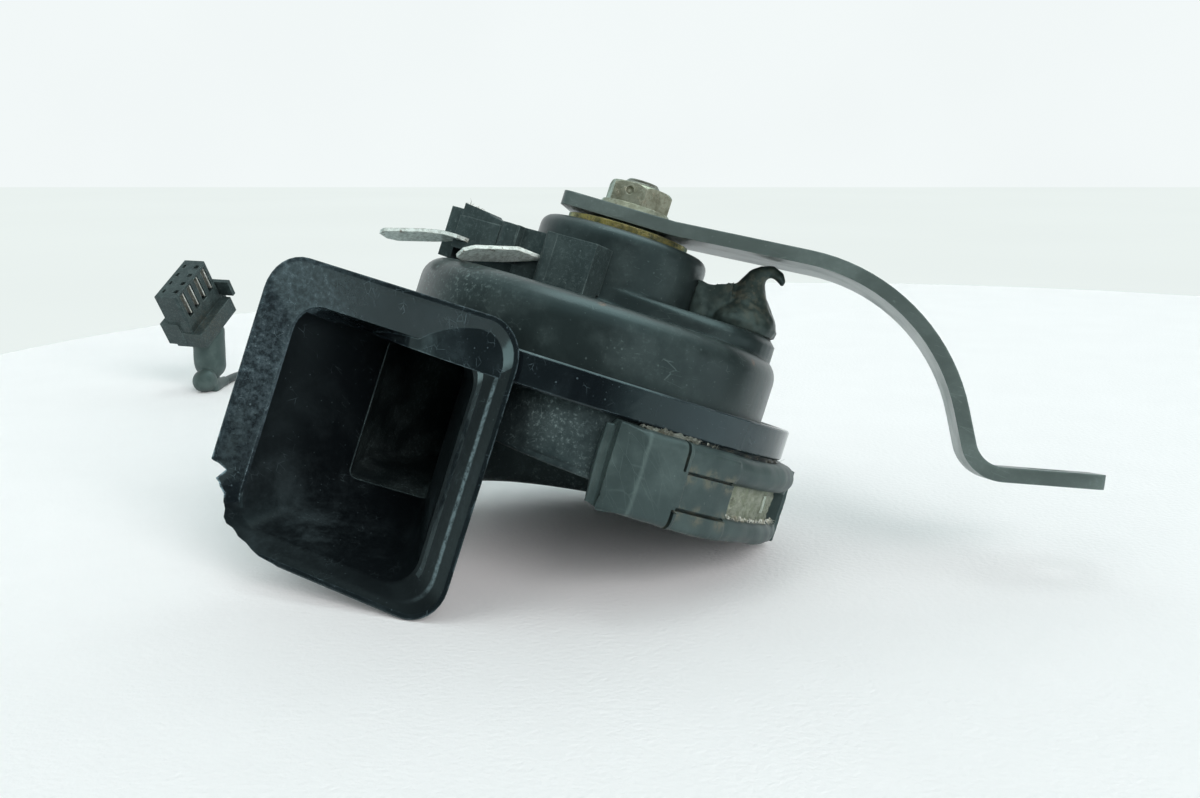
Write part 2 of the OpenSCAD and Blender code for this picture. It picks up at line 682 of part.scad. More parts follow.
// Bore of the spiral duct at a turn u past the bell, measured towards the throat
function duct_ease_share(u) = u < duct_ease ? 0 : min(1, (u - duct_ease) / duct_ease_turn);
function duct_out(u) = lerp(duct_r, 9, (1 - cos(180 * duct_ease_share(u))) / 2);
function duct_depth(u) = throat_h + (duct_h - throat_h) * pow((duct_turn - u) / duct_turn, 1.8);
function duct_width(u) = lerp(duct_w, 8, pow(max(u, 0) / duct_turn, 0.7));

// Section of the duct in the plane through the axis at turn u, drawn as radius and height
function duct_section(u, wall, lip, top) =
  let (
    r1 = duct_out(u) + wall,
    r0 = max(duct_out(u) - duct_width(u) - wall, 0.6),
    h = duct_depth(u) + wall,
    c = 1.6 + wall / 2
  )
  concat(
    [[r0, top], [r1, top]],
    lip > 0 ? [[r1, -h + 2.4], [r1 + lip, -h + 1.3], [r1 + lip, -h]] : arc([r1 - c, c - h], c, 0, -90, 3),
    arc([r0 + c, c - h], c, 270, 180, 3)
  );

module duct(wall, lip, top, from, to) {
  loft([
    for (u = [from:duct_step:to]) let (a = duct_start - u)
      [for (p = duct_section(u, wall, lip, top)) [p[0] * cos(a), p[0] * sin(a), p[1]]]
  ]);
}

// Lower moulding of the trumpet: the spiral channel that the plate closes
module trumpet_spiral() rest_pose() color([0.22, 0.24, 0.24]) {
  difference() {
    union() {
      duct(duct_wall, duct_lip, 0, 0, duct_turn);
      translate([0, 0, -throat_h - duct_wall]) cylinder(r = well_r, h = throat_h + duct_wall);
    }
    duct(0, 0, over, -duct_step / 2, duct_turn - duct_step / 2);
    translate([0, 0, -throat_h]) cylinder(r = throat_r, h = throat_h + over);
  }
}

module seat_washer() rest_pose() color([0.62, 0.52, 0.22]) {
  ring(seat_r, stud_r + fit, cap_z, seat_t);
}

module thin_washer() rest_pose() color([0.4, 0.38, 0.3]) {
  ring(thin_washer_r, stud_r + fit, cap_z + seat_t, thin_washer_t);
}

// Corners of the strap's centre line, seen from the side
strap_mid = strap_z + strap_t / 2;
rise_start = [strap_flat, strap_mid];
rise_end = rise_start + strap_rise_len * dir(strap_rise);
bend_c = rise_end - strap_bend_r * nrm(strap_rise);
drop_a = strap_rise - strap_bend;
drop_start = bend_c + strap_bend_r * nrm(drop_a);
drop_end = drop_start + strap_drop * dir(drop_a);
foot_c = drop_end + foot_bend_r * nrm(drop_a);
foot_a = drop_a + foot_bend;
foot_start = foot_c - foot_bend_r * nrm(foot_a);
foot_end = foot_start + foot_len * dir(foot_a);
foot_hole = foot_end - foot_hole_end * dir(foot_a);

// One face of the strap, at a signed distance from its centre line
function strap_side(d) = concat(
  [[-strap_head, strap_mid + d], rise_start + [0, d]],
  [for (i = [0:18]) bend_c + (strap_bend_r + d) * nrm(strap_rise - strap_bend * i / 18)],
  [for (i = [0:12]) foot_c - (foot_bend_r - d) * nrm(drop_a + foot_bend * i / 12)],
  [foot_end + d * nrm(foot_a)]
);

module bracket() rest_pose() color([0.22, 0.27, 0.27]) {
  upper = strap_side(strap_t / 2);
  lower = strap_side(-strap_t / 2);
  corner = 3;
  reach = foot_end[0] + 0.5;
  difference() {
    intersection() {
      translate([0, strap_w / 2, 0]) rotate([90, 0, 0])
        linear_extrude(strap_w) polygon(concat(upper, [for (i = [len(lower) - 1:-1:0]) lower[i]]));
      // plan of the strap, with rounded corners
      linear_extrude(nut_z + nut_h) union() {
        translate([corner - strap_head, -strap_w / 2]) square([reach + strap_head - 2 * corner, strap_w]);
        translate([-strap_head, corner - strap_w / 2]) square([reach + strap_head, strap_w - 2 * corner]);
        for (s = [-1, 1]) for (x = [corner - strap_head, reach - corner])
          translate([x, s * (strap_w / 2 - corner)]) circle(r = corner);
      }
    }
    translate([0, 0, strap_z - over]) cylinder(r = stud_r + run, h = strap_t + 2 * over);
    translate([foot_hole[0], 0, foot_hole[1]]) rotate([0, -foot_a, 0])
      cylinder(r = foot_hole_r, h = strap_t + 2 * over, center = true);
  }
}

module nut_washer() rest_pose() color([0.55, 0.53, 0.42]) {
  difference() {
    translate([0, 0, nut_washer_z]) cylinder(r1 = nut_washer_r, r2 = nut_washer_r - 0.7, h = nut_washer_t);
    translate([0, 0, nut_washer_z - over]) cylinder(r = stud_r + run, h = nut_washer_t + 2 * over);
  }
}

// Lock nut: chamfered corners, and a punched dimple on three of its flats
module lock_nut() rest_pose() color([0.58, 0.57, 0.48]) {
  nut_turn = 19.3;
  nut_r = nut_flats / sqrt(3);
  translate([0, 0, nut_z]) difference() {
    intersection() {
      rotate([0, 0, nut_turn - 90]) cylinder(r = nut_r, h = nut_h, $fn = 6);
      cylinder(r1 = nut_r + nut_h, r2 = nut_r - 0.9, h = nut_h);
    }
    translate([0, 0, -over]) cylinder(r = stud_r + run, h = nut_h + 2 * over);
    for (i = [0:2]) rotate([0, 0, nut_turn - 120 + 120 * i])
      translate([nut_flats / 2, 0, nut_h * 0.6]) sphere(r = 0.9, $fn = 24);
  }
}

// Part of a turn of a section that is drawn as radius and height
module sector(from, to) {
  rotate([0, 0, from]) rotate_extrude(angle = to - from) children();
}

module metal_band() rest_pose() color([0.55, 0.52, 0.45]) {
  r0 = duct_r + duct_wall + fit;
  difference() {
    sector(boot_start + 3, boot_end - 3)
      translate([r0, band_z - band_w]) square([band_t, band_w]);
    // slot that shows in the boot's window
    rotate([0, 0, -12]) translate([r0 - over, -0.8, band_z - band_w / 2 - 1.4]) cube([band_t + 2 * over, 1.6, 2.8]);
  }
}

// Sections of the boot: rolled edges, and the wall between them
module boot_rolls() {
  intersection() {
    translate([boot_r + boot_t - boot_roll_r, boot_z - boot_roll_r]) circle(r = boot_roll_r, $fn = 32);
    translate([boot_r + 0.3, boot_z - boot_h]) square([boot_t, boot_h]);
  }
  translate([boot_r + 0.3, boot_z - boot_roll_r * 2 + 0.4])
    square([boot_t - boot_roll_r, boot_roll_r * 2 - 0.8]);
  translate([boot_r + boot_t - 2.6, boot_z - boot_h + 2.2]) circle(r = 2.2, $fn = 32);
  translate([boot_r + 0.9, boot_z - boot_h + 0.7]) square([boot_t - 3.5, 3.6]);
}

module boot_wall(t, slack = 0, drop = 0) {
  translate([boot_r + slack, boot_z - boot_h + 5.6 + slack]) square([t - slack, boot_h - 6.6 - slack]);
  translate([boot_r + 0.6 + slack, boot_z - boot_h + 0.4 - drop]) square([t - 0.6 - slack, boot_h - 1.4 + drop]);
}

// Block of the boot, with rounded edges
module boot_block_section() {
  t = boot_t + boot_block;
  c = 2;
  difference() {
    union() {
      translate([boot_r, boot_z - boot_h + c]) square([t, boot_h - 2 * c]);
      translate([boot_r, boot_z - boot_h]) square([t - c, boot_h]);
      for (z = [boot_z - c, boot_z - boot_h + c]) translate([boot_r + t - c, z]) circle(r = c, $fn = 32);
    }
    translate([boot_r - over, boot_z - boot_h - over]) square([over + 0.5, over + 5.8]);
  }
}

module rubber_boot() rest_pose() color([0.26, 0.31, 0.31]) {
  sector(boot_start - 2, boot_start + 1) boot_wall(2.6);
  sector(boot_start, block_end) boot_block_section();
  sector(block_end - 1, boot_end) boot_rolls();
  sector(block_end - 1, tab_end) boot_wall(boot_t);
  sector(window_end, window_end + 13) boot_wall(boot_t - 1);
  sector(window_end + 12, boot_end) boot_wall(boot_t, 0.1, boot_drop);
}

module foam_pad() rest_pose() color([0.45, 0.43, 0.36]) {
  r0 = boot_r + 0.3;
  sector(boot_start + 6, block_end + 3) translate([r0, boot_z]) square([3.4, 0.5]);
}

// Tapered sleeve with ribs where the lead leaves the boot
relief_len = 12;
relief_r = boot_r + boot_t / 2;
relief_z = boot_z - boot_h / 2;

module relief_frame() {
  rotate([0, 0, boot_end]) translate([relief_r, 0, relief_z]) rotate([-90, 0, 0]) children();
}

module strain_relief() rest_pose() color([0.16, 0.18, 0.18]) {
  relief_frame() {
    cylinder(r1 = lead_r + 0.7, r2 = lead_r + 0.3, h = relief_len);
    for (i = [0:3]) translate([0, 0, 1 + 2.6 * i]) cylinder(r = lead_r + 0.9 - 0.1 * i, h = 1.2);
  }
}

// Route of the lead: out of the strain relief, down to the table, and round to the plug
relief_end = relief_r * dir(boot_end) + relief_len * nrm(boot_end);
relief_past = relief_end + 8 * nrm(boot_end);
lead_z = lead_r * cos(22.5);
lead_route = [
  rest_point([relief_end[0], relief_end[1], relief_z]), rest_point([relief_past[0], relief_past[1], relief_z]),
  [-58, 46, 26], [-67, 50, 19], [-71, 58, 10], [-72, 70, 4], [-71, 84, lead_z],
  [-71, 100, lead_z], [-73, 120, lead_z], [-80, 143, lead_z], [-90, 165, lead_z],
  [-102, 187, lead_z], [-115, 208, lead_z], [-128, 221, lead_z], [-140, 221, lead_z],
  [-147, 210, lead_z], [-149, 198, lead_z]
];

// Point at share t between b and c, on a smooth curve through a, b, c and d
function smooth(a, b, c, d, t) =
  ((2 * b) + (c - a) * t + (2 * a - 5 * b + 4 * c - d) * t * t + (3 * b - a - 3 * c + d) * t * t * t) / 2;

function route_points(p, n) = [
  for (i = [0:len(p) - 2]) for (k = [0:n - 1])
    let (q = smooth(p[max(i - 1, 0)], p[i], p[i + 1], p[min(i + 2, len(p) - 1)], k / n))
      [q[0], q[1], max(q[2], lead_z)],
  p[len(p) - 1]
];

function unit(v) = v / norm(v);

// Tube of radius r along a list of points
module tube(pts, r, sides) {
  m = len(pts) - 1;
  loft([
    for (i = [0:m]) let (
      t = unit(pts[min(i + 1, m)] - pts[max(i - 1, 0)]),
      u = unit(cross(t, [0, 0, 1])),
      v = cross(u, t)
    )
    [for (k = [0:sides - 1]) let (a = 360 * (k + 0.5) / sides) pts[i] + r * (cos(a) * u + sin(a) * v)]
  ]);
}

module lead() color([0.12, 0.13, 0.13]) {
  tube(route_points(lead_route, 2), lead_r, 8);
}

// Sleeve over the wires: it stands on the table by its bulb, and the plug leans on it
sleeve_foot = [-152, 191];
bulb_at = [-152.2, 184.1, 4.1];
bulb_r = 4.2;

module plug_sleeve() color([0.3, 0.33, 0.33]) {
  tail = lead_route[len(lead_route) - 1];
  before = lead_route[len(lead_route) - 2];
  heading = unit(tail - before);
  difference() {
    union() {
      translate([sleeve_foot[0], sleeve_foot[1], 9]) cylinder(r = sleeve_r, h = 13);
      translate([sleeve_foot[0], sleeve_foot[1], 9]) sphere(r = sleeve_r);
      translate(bulb_at) sphere(r = bulb_r);
      // cone that closes on the lead
      translate(tail) rotate([-90, 0, atan2(heading[1], heading[0]) - 90])
        cylinder(r1 = lead_r + 0.3, r2 = bulb_r - 1, h = norm(tail - bulb_at) - 1);
    }
    plug_frame() plug_body();
    translate([sleeve_foot[0] - 20, sleeve_foot[1] - 20, -10]) cube([40, 40, 10]);
  }
}

// The plug's frame: x to its back, y across the contacts, z out of its mating face
module plug_frame() {
  translate([-157.1, 171.7, 34.8]) rotate([-32.6, -0.6, 159]) children();
}

module plug_body() {
  translate([0, -plug_w, -plug_len - 0.5]) cube([plug_t, plug_w, plug_len + 0.5]);
  translate([-3.5, -plug_w, -plug_len - plug_rear + 1]) cube([plug_t + 3.5, plug_w + 0.4, plug_rear - 1]);
  translate([plug_t / 2, -3.4, -plug_len - plug_rear + 2]) cube([plug_t / 2 + 3, 4, plug_rear + 2]);
  // ribs along the back, for the mating half's keyways
  for (y = [-plug_w + 2.5, -4]) translate([plug_t - 0.5, y, -plug_len - 0.5]) cube([1.3, 1.5, plug_len - 1]);
}

// Place across the housing of each contact, and depth and length of its slot
function contact_y(i) = -plug_w / 2 + plug_pitch * (i - 1.5);
slot_in = 1;
slot_len = 9.4;

module plug_housing() color([0.2, 0.22, 0.22]) {
  plug_frame() difference() {
    plug_body();
    for (i = [0:3]) translate([0, contact_y(i), 0]) {
      // slot over the contact, its way in, and the hole that releases it
      translate([-over, -1.3, -slot_in - slot_len]) cube([3 + over, 2.6, slot_len]);
      translate([1, -0.9, -slot_in - 0.4]) cube([1.8, 1.8, slot_in + 0.4 + over]);
      translate([plug_t - 2.4, -0.9, -4]) cube([1.1, 1.8, 4 + over]);
      translate([1, -0.9, -plug_len - plug_rear - over]) cube([2, 1.8, plug_len + plug_rear - slot_len + 0.4]);
    }
    // chamfers at the two ends of the slotted face
    translate([0, 0, over]) rotate([0, 0, 45]) cube([1, 1, 2 * plug_len], center = true);
    translate([0, -plug_w, over]) rotate([0, 0, 45]) cube([1, 1, 2 * plug_len], center = true);
  }
}

// Latch: a springy ear at one end, rooted over the rear block
module plug_latch() color([0.2, 0.22, 0.22]) {
  plug_frame() {
    translate([-4.6, -plug_w - 2, -15.6]) cube([8, 1.5, 6]);
    translate([0, -plug_w - 2, -plug_len - plug_rear + 2]) cube([3.4, 1.5, plug_rear]);
    translate([0, -plug_w - 0.6, -plug_len - plug_rear + 2]) cube([3.4, 0.35, 1.2]);
  }
}

module plug_contacts() color([0.7, 0.7, 0.66]) {
  plug_frame() for (i = [0:3]) translate([0, contact_y(i), 0]) {
    translate([0.3, -1.1, 0.6 - slot_in - slot_len]) cube([2.7, 0.5, slot_len - 1]);
    translate([2.5, -0.7, 0.6 - slot_in - slot_len]) cube([0.5, 1.6, slot_len - 1]);
  }
}

can();
core_stud();
coil_bobbin();
coil_winding();
armature();
armature_rivet();
diaphragm();
gasket_upper();
gasket_lower();
clamp_ring();
contact_post();
contact_insulator();
contact_fixed_arm();
contact_fixed();
contact_moving_arm();
contact_moving();
contact_button();
adjusting_screw();
adjuster_seal();
terminal_block();
terminal_rivets();
terminal_blade_left();
terminal_blade_right();
trumpet_bell();
trumpet_spiral();
seat_washer();
thin_washer();
bracket();
nut_washer();
lock_nut();
metal_band();
rubber_boot();
foam_pad();
strain_relief();
lead();
plug_sleeve();
plug_housing();
plug_latch();
plug_contacts();
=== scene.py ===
import math
import random

import bmesh
import bpy
from mathutils import Euler, Matrix, Vector, noise


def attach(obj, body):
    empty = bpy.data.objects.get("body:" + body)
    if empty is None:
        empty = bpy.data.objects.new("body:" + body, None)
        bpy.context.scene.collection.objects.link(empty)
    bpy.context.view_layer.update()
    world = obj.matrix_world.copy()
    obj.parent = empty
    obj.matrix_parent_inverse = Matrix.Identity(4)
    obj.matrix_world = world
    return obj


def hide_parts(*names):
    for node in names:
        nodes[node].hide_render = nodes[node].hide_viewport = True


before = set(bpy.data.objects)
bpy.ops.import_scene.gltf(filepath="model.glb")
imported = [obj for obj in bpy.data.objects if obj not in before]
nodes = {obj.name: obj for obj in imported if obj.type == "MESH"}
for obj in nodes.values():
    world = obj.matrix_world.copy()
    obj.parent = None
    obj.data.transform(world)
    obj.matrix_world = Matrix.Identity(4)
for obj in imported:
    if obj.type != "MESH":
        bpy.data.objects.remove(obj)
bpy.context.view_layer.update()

# Camera. It stands 0.29 m in front of the horn and 9 cm over the table, and looks down by
# 11 degrees.
camera = bpy.data.objects.new("camera", bpy.data.cameras.new("camera"))
camera.data.sensor_width = 36
camera.data.lens = 41.08
camera.data.clip_start = 0.01
camera.location = (-0.012517, -0.292506, 0.090270)
camera.rotation_euler = (math.radians(78.98), 0, 0)
bpy.context.scene.collection.objects.link(camera)
bpy.context.scene.camera = camera
bpy.context.scene.view_settings.view_transform = "Standard"


# Table, wall and light. The horn lies on a round white table, in front of a pale wall, under
# a wide soft light. This section also holds the way in which every finish is written.
class Signal:
    """A number that varies over a surface. Arithmetic on it adds Math nodes to its finish."""

    def __init__(self, finish, socket):
        self.finish = finish
        self.socket = socket

    def math(self, operation, *values, clamp=False):
        settings = {"operation": operation, "use_clamp": clamp}
        return self.finish.add("ShaderNodeMath", settings, dict(enumerate(values)))

    def __add__(self, other):
        return self.math("ADD", self, other)

    def __sub__(self, other):
        return self.math("SUBTRACT", self, other)

    def __rsub__(self, other):
        return self.math("SUBTRACT", other, self)

    def __mul__(self, other):
        return self.math("MULTIPLY", self, other)

    __radd__ = __add__
    __rmul__ = __mul__

    def clamped(self):
        return self.math("ADD", self, 0.0, clamp=True)

    def most(self, other):
        return self.math("MAXIMUM", self, other)

    def wave(self, length):
        """A sine of the number, from crest to crest in that length."""
        return self.math("SINE", self * (math.tau / length))

    def between(self, none, full):
        """0 at none, 1 at full, and a smooth step from the one to the other."""
        step = self.finish.add("ShaderNodeMapRange", {"interpolation_type": "SMOOTHSTEP"}, {
            "Value": self, "From Min": min(none, full), "From Max": max(none, full)})
        return step if full > none else 1 - step


class Finish:
    """The material of one piece, or the light of the room, built from nodes."""

    def __init__(self, name, make=bpy.data.materials.new):
        self.material = make(name)
        self.material.use_nodes = True
        self.tree = self.material.node_tree
        self.tree.nodes.clear()

    def add(self, kind, settings=None, inputs=None, output=0):
        """Adds a node: first its settings, then the values or links of its sockets."""
        node = self.tree.nodes.new(kind)
        for name, value in (settings or {}).items():
            setattr(node, name, value)
        for name, value in (inputs or {}).items():
            if isinstance(value, Signal):
                self.tree.links.new(value.socket, node.inputs[name])
            else:
                node.inputs[name].default_value = value
        return Signal(self, node.outputs[output]) if node.outputs else None

    def coordinate(self, kind="Object"):
        """The place on the piece in metres, or another kind of coordinate."""
        return self.add("ShaderNodeTexCoord", output=kind)

    def part(self, vector, axis):
        """One of the three numbers of a vector."""
        return self.add("ShaderNodeSeparateXYZ", {}, {"Vector": vector}, output=axis)

    def measure(self, operation, first, second):
        """The number that Vector Math makes of two vectors."""
        return self.add("ShaderNodeVectorMath", {"operation": operation},
                        {0: first, 1: second}, output="Value")

    def place(self, stretch=(1, 1, 1), turn=(0, 0, 0)):
        """The place on the piece in metres, turned by degrees and then drawn out."""
        return self.add("ShaderNodeMapping", {"vector_type": "TEXTURE"}, {
            "Vector": self.coordinate(), "Rotation": [math.radians(a) for a in turn],
            "Scale": stretch})

    def noise(self, size, detail=4, rough=0.55, place=None, bend=0.0):
        """Cloudy noise around 0.5, with lumps about size metres across."""
        return self.add("ShaderNodeTexNoise", {}, {
            "Vector": place or self.place(), "Scale": 1 / size, "Detail": detail,
            "Roughness": rough, "Distortion": bend})

    def specks(self, size, share):
        """1 on round specks that lie size metres apart, on that share of the cells."""
        cells = {"Vector": self.place(), "Scale": 1 / size}
        away = self.add("ShaderNodeTexVoronoi", {}, cells, output="Distance")
        colour = self.add("ShaderNodeTexVoronoi", {}, cells, output="Color")
        chance = self.add("ShaderNodeSeparateColor", {}, {"Color": colour})
        return away.between(0.21, 0.08) * chance.math("LESS_THAN", chance, share)

    def dots(self, size, share, small, small_share):
        """Specks of two sizes."""
        return self.specks(size, share).most(self.specks(small, small_share))

    def scratches(self, size, width, turn, long=14):
        """1 on thin straight lines, size metres apart and long times longer."""
        away = self.add("ShaderNodeTexVoronoi", {"feature": "DISTANCE_TO_EDGE"}, {
            "Vector": self.place((long, 1, 1), turn), "Scale": 1 / size}, output="Distance")
        return away.between(width, 0.0)

    def hairlines(self, size, width, turn, long, none, full):
        """Scratches in some patches only: where a noise is over none, and all from full."""
        return (self.scratches(size, width, turn, long)
                * self.noise(0.004, 3).between(none, full))

    def mix(self, share, first, second):
        """The colour first where share is 0, and second where it is 1."""
        first, second = [c if isinstance(c, Signal) else (*c, 1.0) for c in (first, second)]
        return self.add("ShaderNodeMix", {"data_type": "RGBA"}, {0: share, 6: first, 7: second},
                        output=2)

    def edges(self, radius):
        """1 on edges and corners of about that radius, 0 on flat faces."""
        soft = self.add("ShaderNodeBevel", {"samples": 6}, {"Radius": radius})
        flat = self.add("ShaderNodeNewGeometry", output="Normal")
        return (1 - self.measure("DOT_PRODUCT", soft, flat)).between(0.01, 0.16)

    def upward(self):
        """1 where the surface faces up, 0 upright, -1 where it faces down."""
        return self.part(self.coordinate("Normal"), "Z")

    def level(self, point, way):
        """How far the place lies past a point in some direction, in metres."""
        return self.measure("DOT_PRODUCT", self.coordinate(), way) - Vector(point).dot(way)

    def near(self, point, reach):
        """1 at a point of the piece at rest, 0 from reach metres away."""
        return self.measure("DISTANCE", self.coordinate(), point).between(reach, 0.0)

    def closed(self, color, roughness, metallic=0.0, bump=None, height=0.0001, soft=0.0,
               **constants):
        """Ends the finish with its shader. bump is a relief, and soft rounds edges to the eye."""
        inputs = {"Roughness": roughness, "Metallic": metallic,
                  "Specular Tint": (0.72, 0.97, 1.0, 1.0)}
        inputs["Base Color"] = color if isinstance(color, Signal) else (*color, 1.0)
        if soft:
            inputs["Normal"] = self.add("ShaderNodeBevel", {"samples": 6}, {"Radius": soft})
        if bump is not None:
            given = {"Height": bump, "Distance": height, "Strength": 1.0}
            if soft:
                given["Normal"] = inputs["Normal"]
            inputs["Normal"] = self.add("ShaderNodeBump", {}, given)
        inputs.update({name.replace("_", " "): value for name, value in constants.items()})
        shader = self.add("ShaderNodeBsdfPrincipled", {}, inputs)
        self.add("ShaderNodeOutputMaterial", {}, {"Surface": shader})
        return self.material


def stage_piece(name, vertices, finish):
    """A flat piece of the studio, which isn't part of the horn."""
    mesh = bpy.data.meshes.new(name)
    mesh.from_pydata(vertices, [], [range(len(vertices))])
    mesh.materials.append(finish)
    piece = bpy.data.objects.new(name, mesh)
    bpy.context.scene.collection.objects.link(piece)


def table_finish(name, colour):
    """White cloth with a faint unevenness and a fine grain."""
    cloth = Finish(name)
    uneven = cloth.noise(0.03, 5, 0.6)
    grain = cloth.noise(0.0012, 2, 0.5)
    shade = cloth.mix(uneven.between(0.3, 0.7), [c * 0.985 for c in colour], colour)
    return cloth.closed(shade, 0.9, bump=grain, height=0.00015, Specular_IOR_Level=0.2)


def backdrop_finish(name, colour):
    """A pale surface that the camera and reflections see at its own brightness."""
    paper = Finish(name)
    uneven = paper.noise(0.9, 4, 0.5).between(0.35, 0.65)
    shade = paper.mix(uneven, [c * 0.985 for c in colour], colour)
    lit = paper.add("ShaderNodeBsdfDiffuse", {}, {"Color": shade})
    own = paper.add("ShaderNodeEmission", {}, {"Color": shade, "Strength": 1.0})
    seen = paper.add("ShaderNodeLightPath", output="Is Camera Ray")
    seen = seen.most(paper.add("ShaderNodeLightPath", output="Is Glossy Ray"))
    paper.add("ShaderNodeOutputMaterial", {}, {
        "Surface": paper.add("ShaderNodeMixShader", {}, {0: seen, 1: lit, 2: own})})
    return paper.material


TABLE_X, TABLE_Y, TABLE_R = 0.104, 0.164, 0.379
SIDE, FRONT, WALL_AT, FLOOR_AT, WALL_TOP = 9, -6, 4.6, -0.10, 6
rim_angles = [math.tau * i / 96 for i in range(96)]
stage_piece("table", [(TABLE_X + TABLE_R * math.cos(a), TABLE_Y + TABLE_R * math.sin(a), 0.0)
                      for a in rim_angles], table_finish("white_cloth", (0.92, 0.92, 0.92)))
stage_piece("floor", [(-SIDE, FRONT, FLOOR_AT), (SIDE, FRONT, FLOOR_AT),
                      (SIDE, WALL_AT, FLOOR_AT), (-SIDE, WALL_AT, FLOOR_AT)],
            backdrop_finish("pale_floor", (0.83, 0.895, 0.875)))
stage_piece("wall", [(-SIDE, WALL_AT, FLOOR_AT), (SIDE, WALL_AT, FLOOR_AT),
                     (SIDE, WALL_AT, WALL_TOP), (-SIDE, WALL_AT, WALL_TOP)],
            backdrop_finish("pale_wall", (0.895, 0.945, 0.945)))

# The room's light is even. In reflections it is bright behind and overhead and dim on the
# camera's side, with a soft box overhead, a window on the left and a pale patch on the right.
room = Finish("room", bpy.data.worlds.new)
bpy.context.scene.world = room.material
direction = room.coordinate("Generated")
left = room.part(direction, "X").between(0.3, -0.8)
back = room.part(direction, "Y").between(-0.2, 0.7)
above = room.part(direction, "Z").between(0.25, 0.95)
over = room.measure("DOT_PRODUCT", direction, (0.30, 0.22, 0.93)).between(0.88, 0.98)
patch = (room.part(direction, "X").between(0.15, 0.55)
         * room.part(direction, "Y").between(-0.25, -0.65))
window = room.part(direction, "X").between(-0.955, -0.985)
bright = (0.04 + left * 0.14 + back.most(above) * 0.76 + over * 2.6 + window * 3.0
          + patch * 0.5)
mirrored = room.add("ShaderNodeLightPath", output="Is Glossy Ray")
room.add("ShaderNodeOutputWorld", {}, {"Surface": room.add("ShaderNodeBackground", {}, {
    "Color": (0.80, 0.98, 0.98, 1), "Strength": mirrored * bright + (1 - mirrored) * 0.50})})


def lamp(name, kind, place, power, **settings):
    """A lamp that shines from its place towards the horn. Far ones aren't mirrored in it."""
    light = bpy.data.lights.new(name, kind)
    light.energy = power
    for setting, value in settings.items():
        setattr(light, setting, value)
    piece = bpy.data.objects.new(name, light)
    piece.location = place
    piece.visible_glossy = kind == "AREA"
    aim = Vector((0, 0, 0.03)) - Vector(place)
    piece.rotation_euler = aim.to_track_quat("-Z", "Y").to_euler()
    bpy.context.scene.collection.objects.link(piece)


wide = {"angle": math.radians(38), "color": (1, 0.94, 0.945)}
lamp("wide_front_light", "SUN", (1.2, -2.4, 1.15), 2.8, **wide)
lamp("wide_left_light", "SUN", (-1.8, -1.2, 1.6), 0.35, **wide)
lamp("soft_box_over", "AREA", (-0.05, 0.0, 1.0), 0.6, size=0.28)


# Lead. A thin two-core lead in black PVC leaves the boot through its strain relief, drops to
# the table behind the horn and lies in one long loop up to its plug. It is declared as a cord
# where the pieces on it are made.
LEAD_R = 0.0015
LEAD_LIE = LEAD_R * math.cos(math.radians(22.5))
lead_route = [
    (-0.039375, 0.046241, 0.023847), (-0.046893, 0.045275, 0.026406), (-0.058, 0.046, 0.026),
    (-0.067, 0.050, 0.019), (-0.071, 0.058, 0.010), (-0.072, 0.070, 0.004),
    (-0.071, 0.084, LEAD_LIE), (-0.071, 0.100, LEAD_LIE), (-0.073, 0.120, LEAD_LIE),
    (-0.080, 0.143, LEAD_LIE), (-0.090, 0.165, LEAD_LIE), (-0.102, 0.187, LEAD_LIE),
    (-0.115, 0.208, LEAD_LIE), (-0.128, 0.221, LEAD_LIE), (-0.140, 0.221, LEAD_LIE),
    (-0.147, 0.210, LEAD_LIE), (-0.149, 0.198, LEAD_LIE)]


def smooth_path(route, steps):
    """Points on a smooth curve through a route, which never dips under the table."""
    route = [Vector(p) for p in route]
    path = []
    for i in range(len(route) - 1):
        a, b, c, d = [route[max(0, min(k, len(route) - 1))] for k in range(i - 1, i + 3)]
        for t in (k / steps for k in range(steps)):
            p = ((2 * b) + (c - a) * t + (2 * a - 5 * b + 4 * c - d) * t ** 2
                 + (3 * b - a - 3 * c + d) * t ** 3) / 2
            path.append(Vector((p.x, p.y, max(p.z, LEAD_LIE))))
    return path + [route[-1]]


def rubber_finish(name, colour, worn, rough):
    """Satin black plastic or rubber with a grey bloom, fine grain and a little dust."""
    skin = Finish(name)
    bloom = skin.noise(0.006, 5, 0.6).between(0.42, 0.72)
    dust = skin.specks(0.0011, 0.10) + skin.upward().between(0.1, 1.0) * 0.25
    tone = skin.mix((bloom * 0.6 + dust * 0.5).clamped(), colour, worn)
    return skin.closed(tone, rough + (bloom - 0.5) * 0.12, bump=skin.noise(0.0007, 3, 0.6),
                       height=0.00004, soft=0.0003)


lead_path = smooth_path(lead_route, 8)
lead_curve = bpy.data.curves.new("lead_run", "CURVE")
lead_curve.dimensions = "3D"
lead_curve.bevel_depth = LEAD_R * 0.985     # the solid's tube has flat sides
lead_curve.bevel_resolution = 4
lead_curve.use_fill_caps = True
spline = lead_curve.splines.new("POLY")
spline.points.add(len(lead_path) - 1)
for point, p in zip(spline.points, lead_path):
    point.co = (*p, 1)
lead_cover = rubber_finish("lead_cover", (0.018, 0.026, 0.026), (0.07, 0.10, 0.10), 0.5)
lead_curve.materials.append(lead_cover)
lead = bpy.data.objects.new("lead_run", lead_curve)
bpy.context.scene.collection.objects.link(lead)
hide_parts("lead")
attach(lead, "horn")
lead_length = sum((b - a).length for a, b in zip(lead_path, lead_path[1:]))


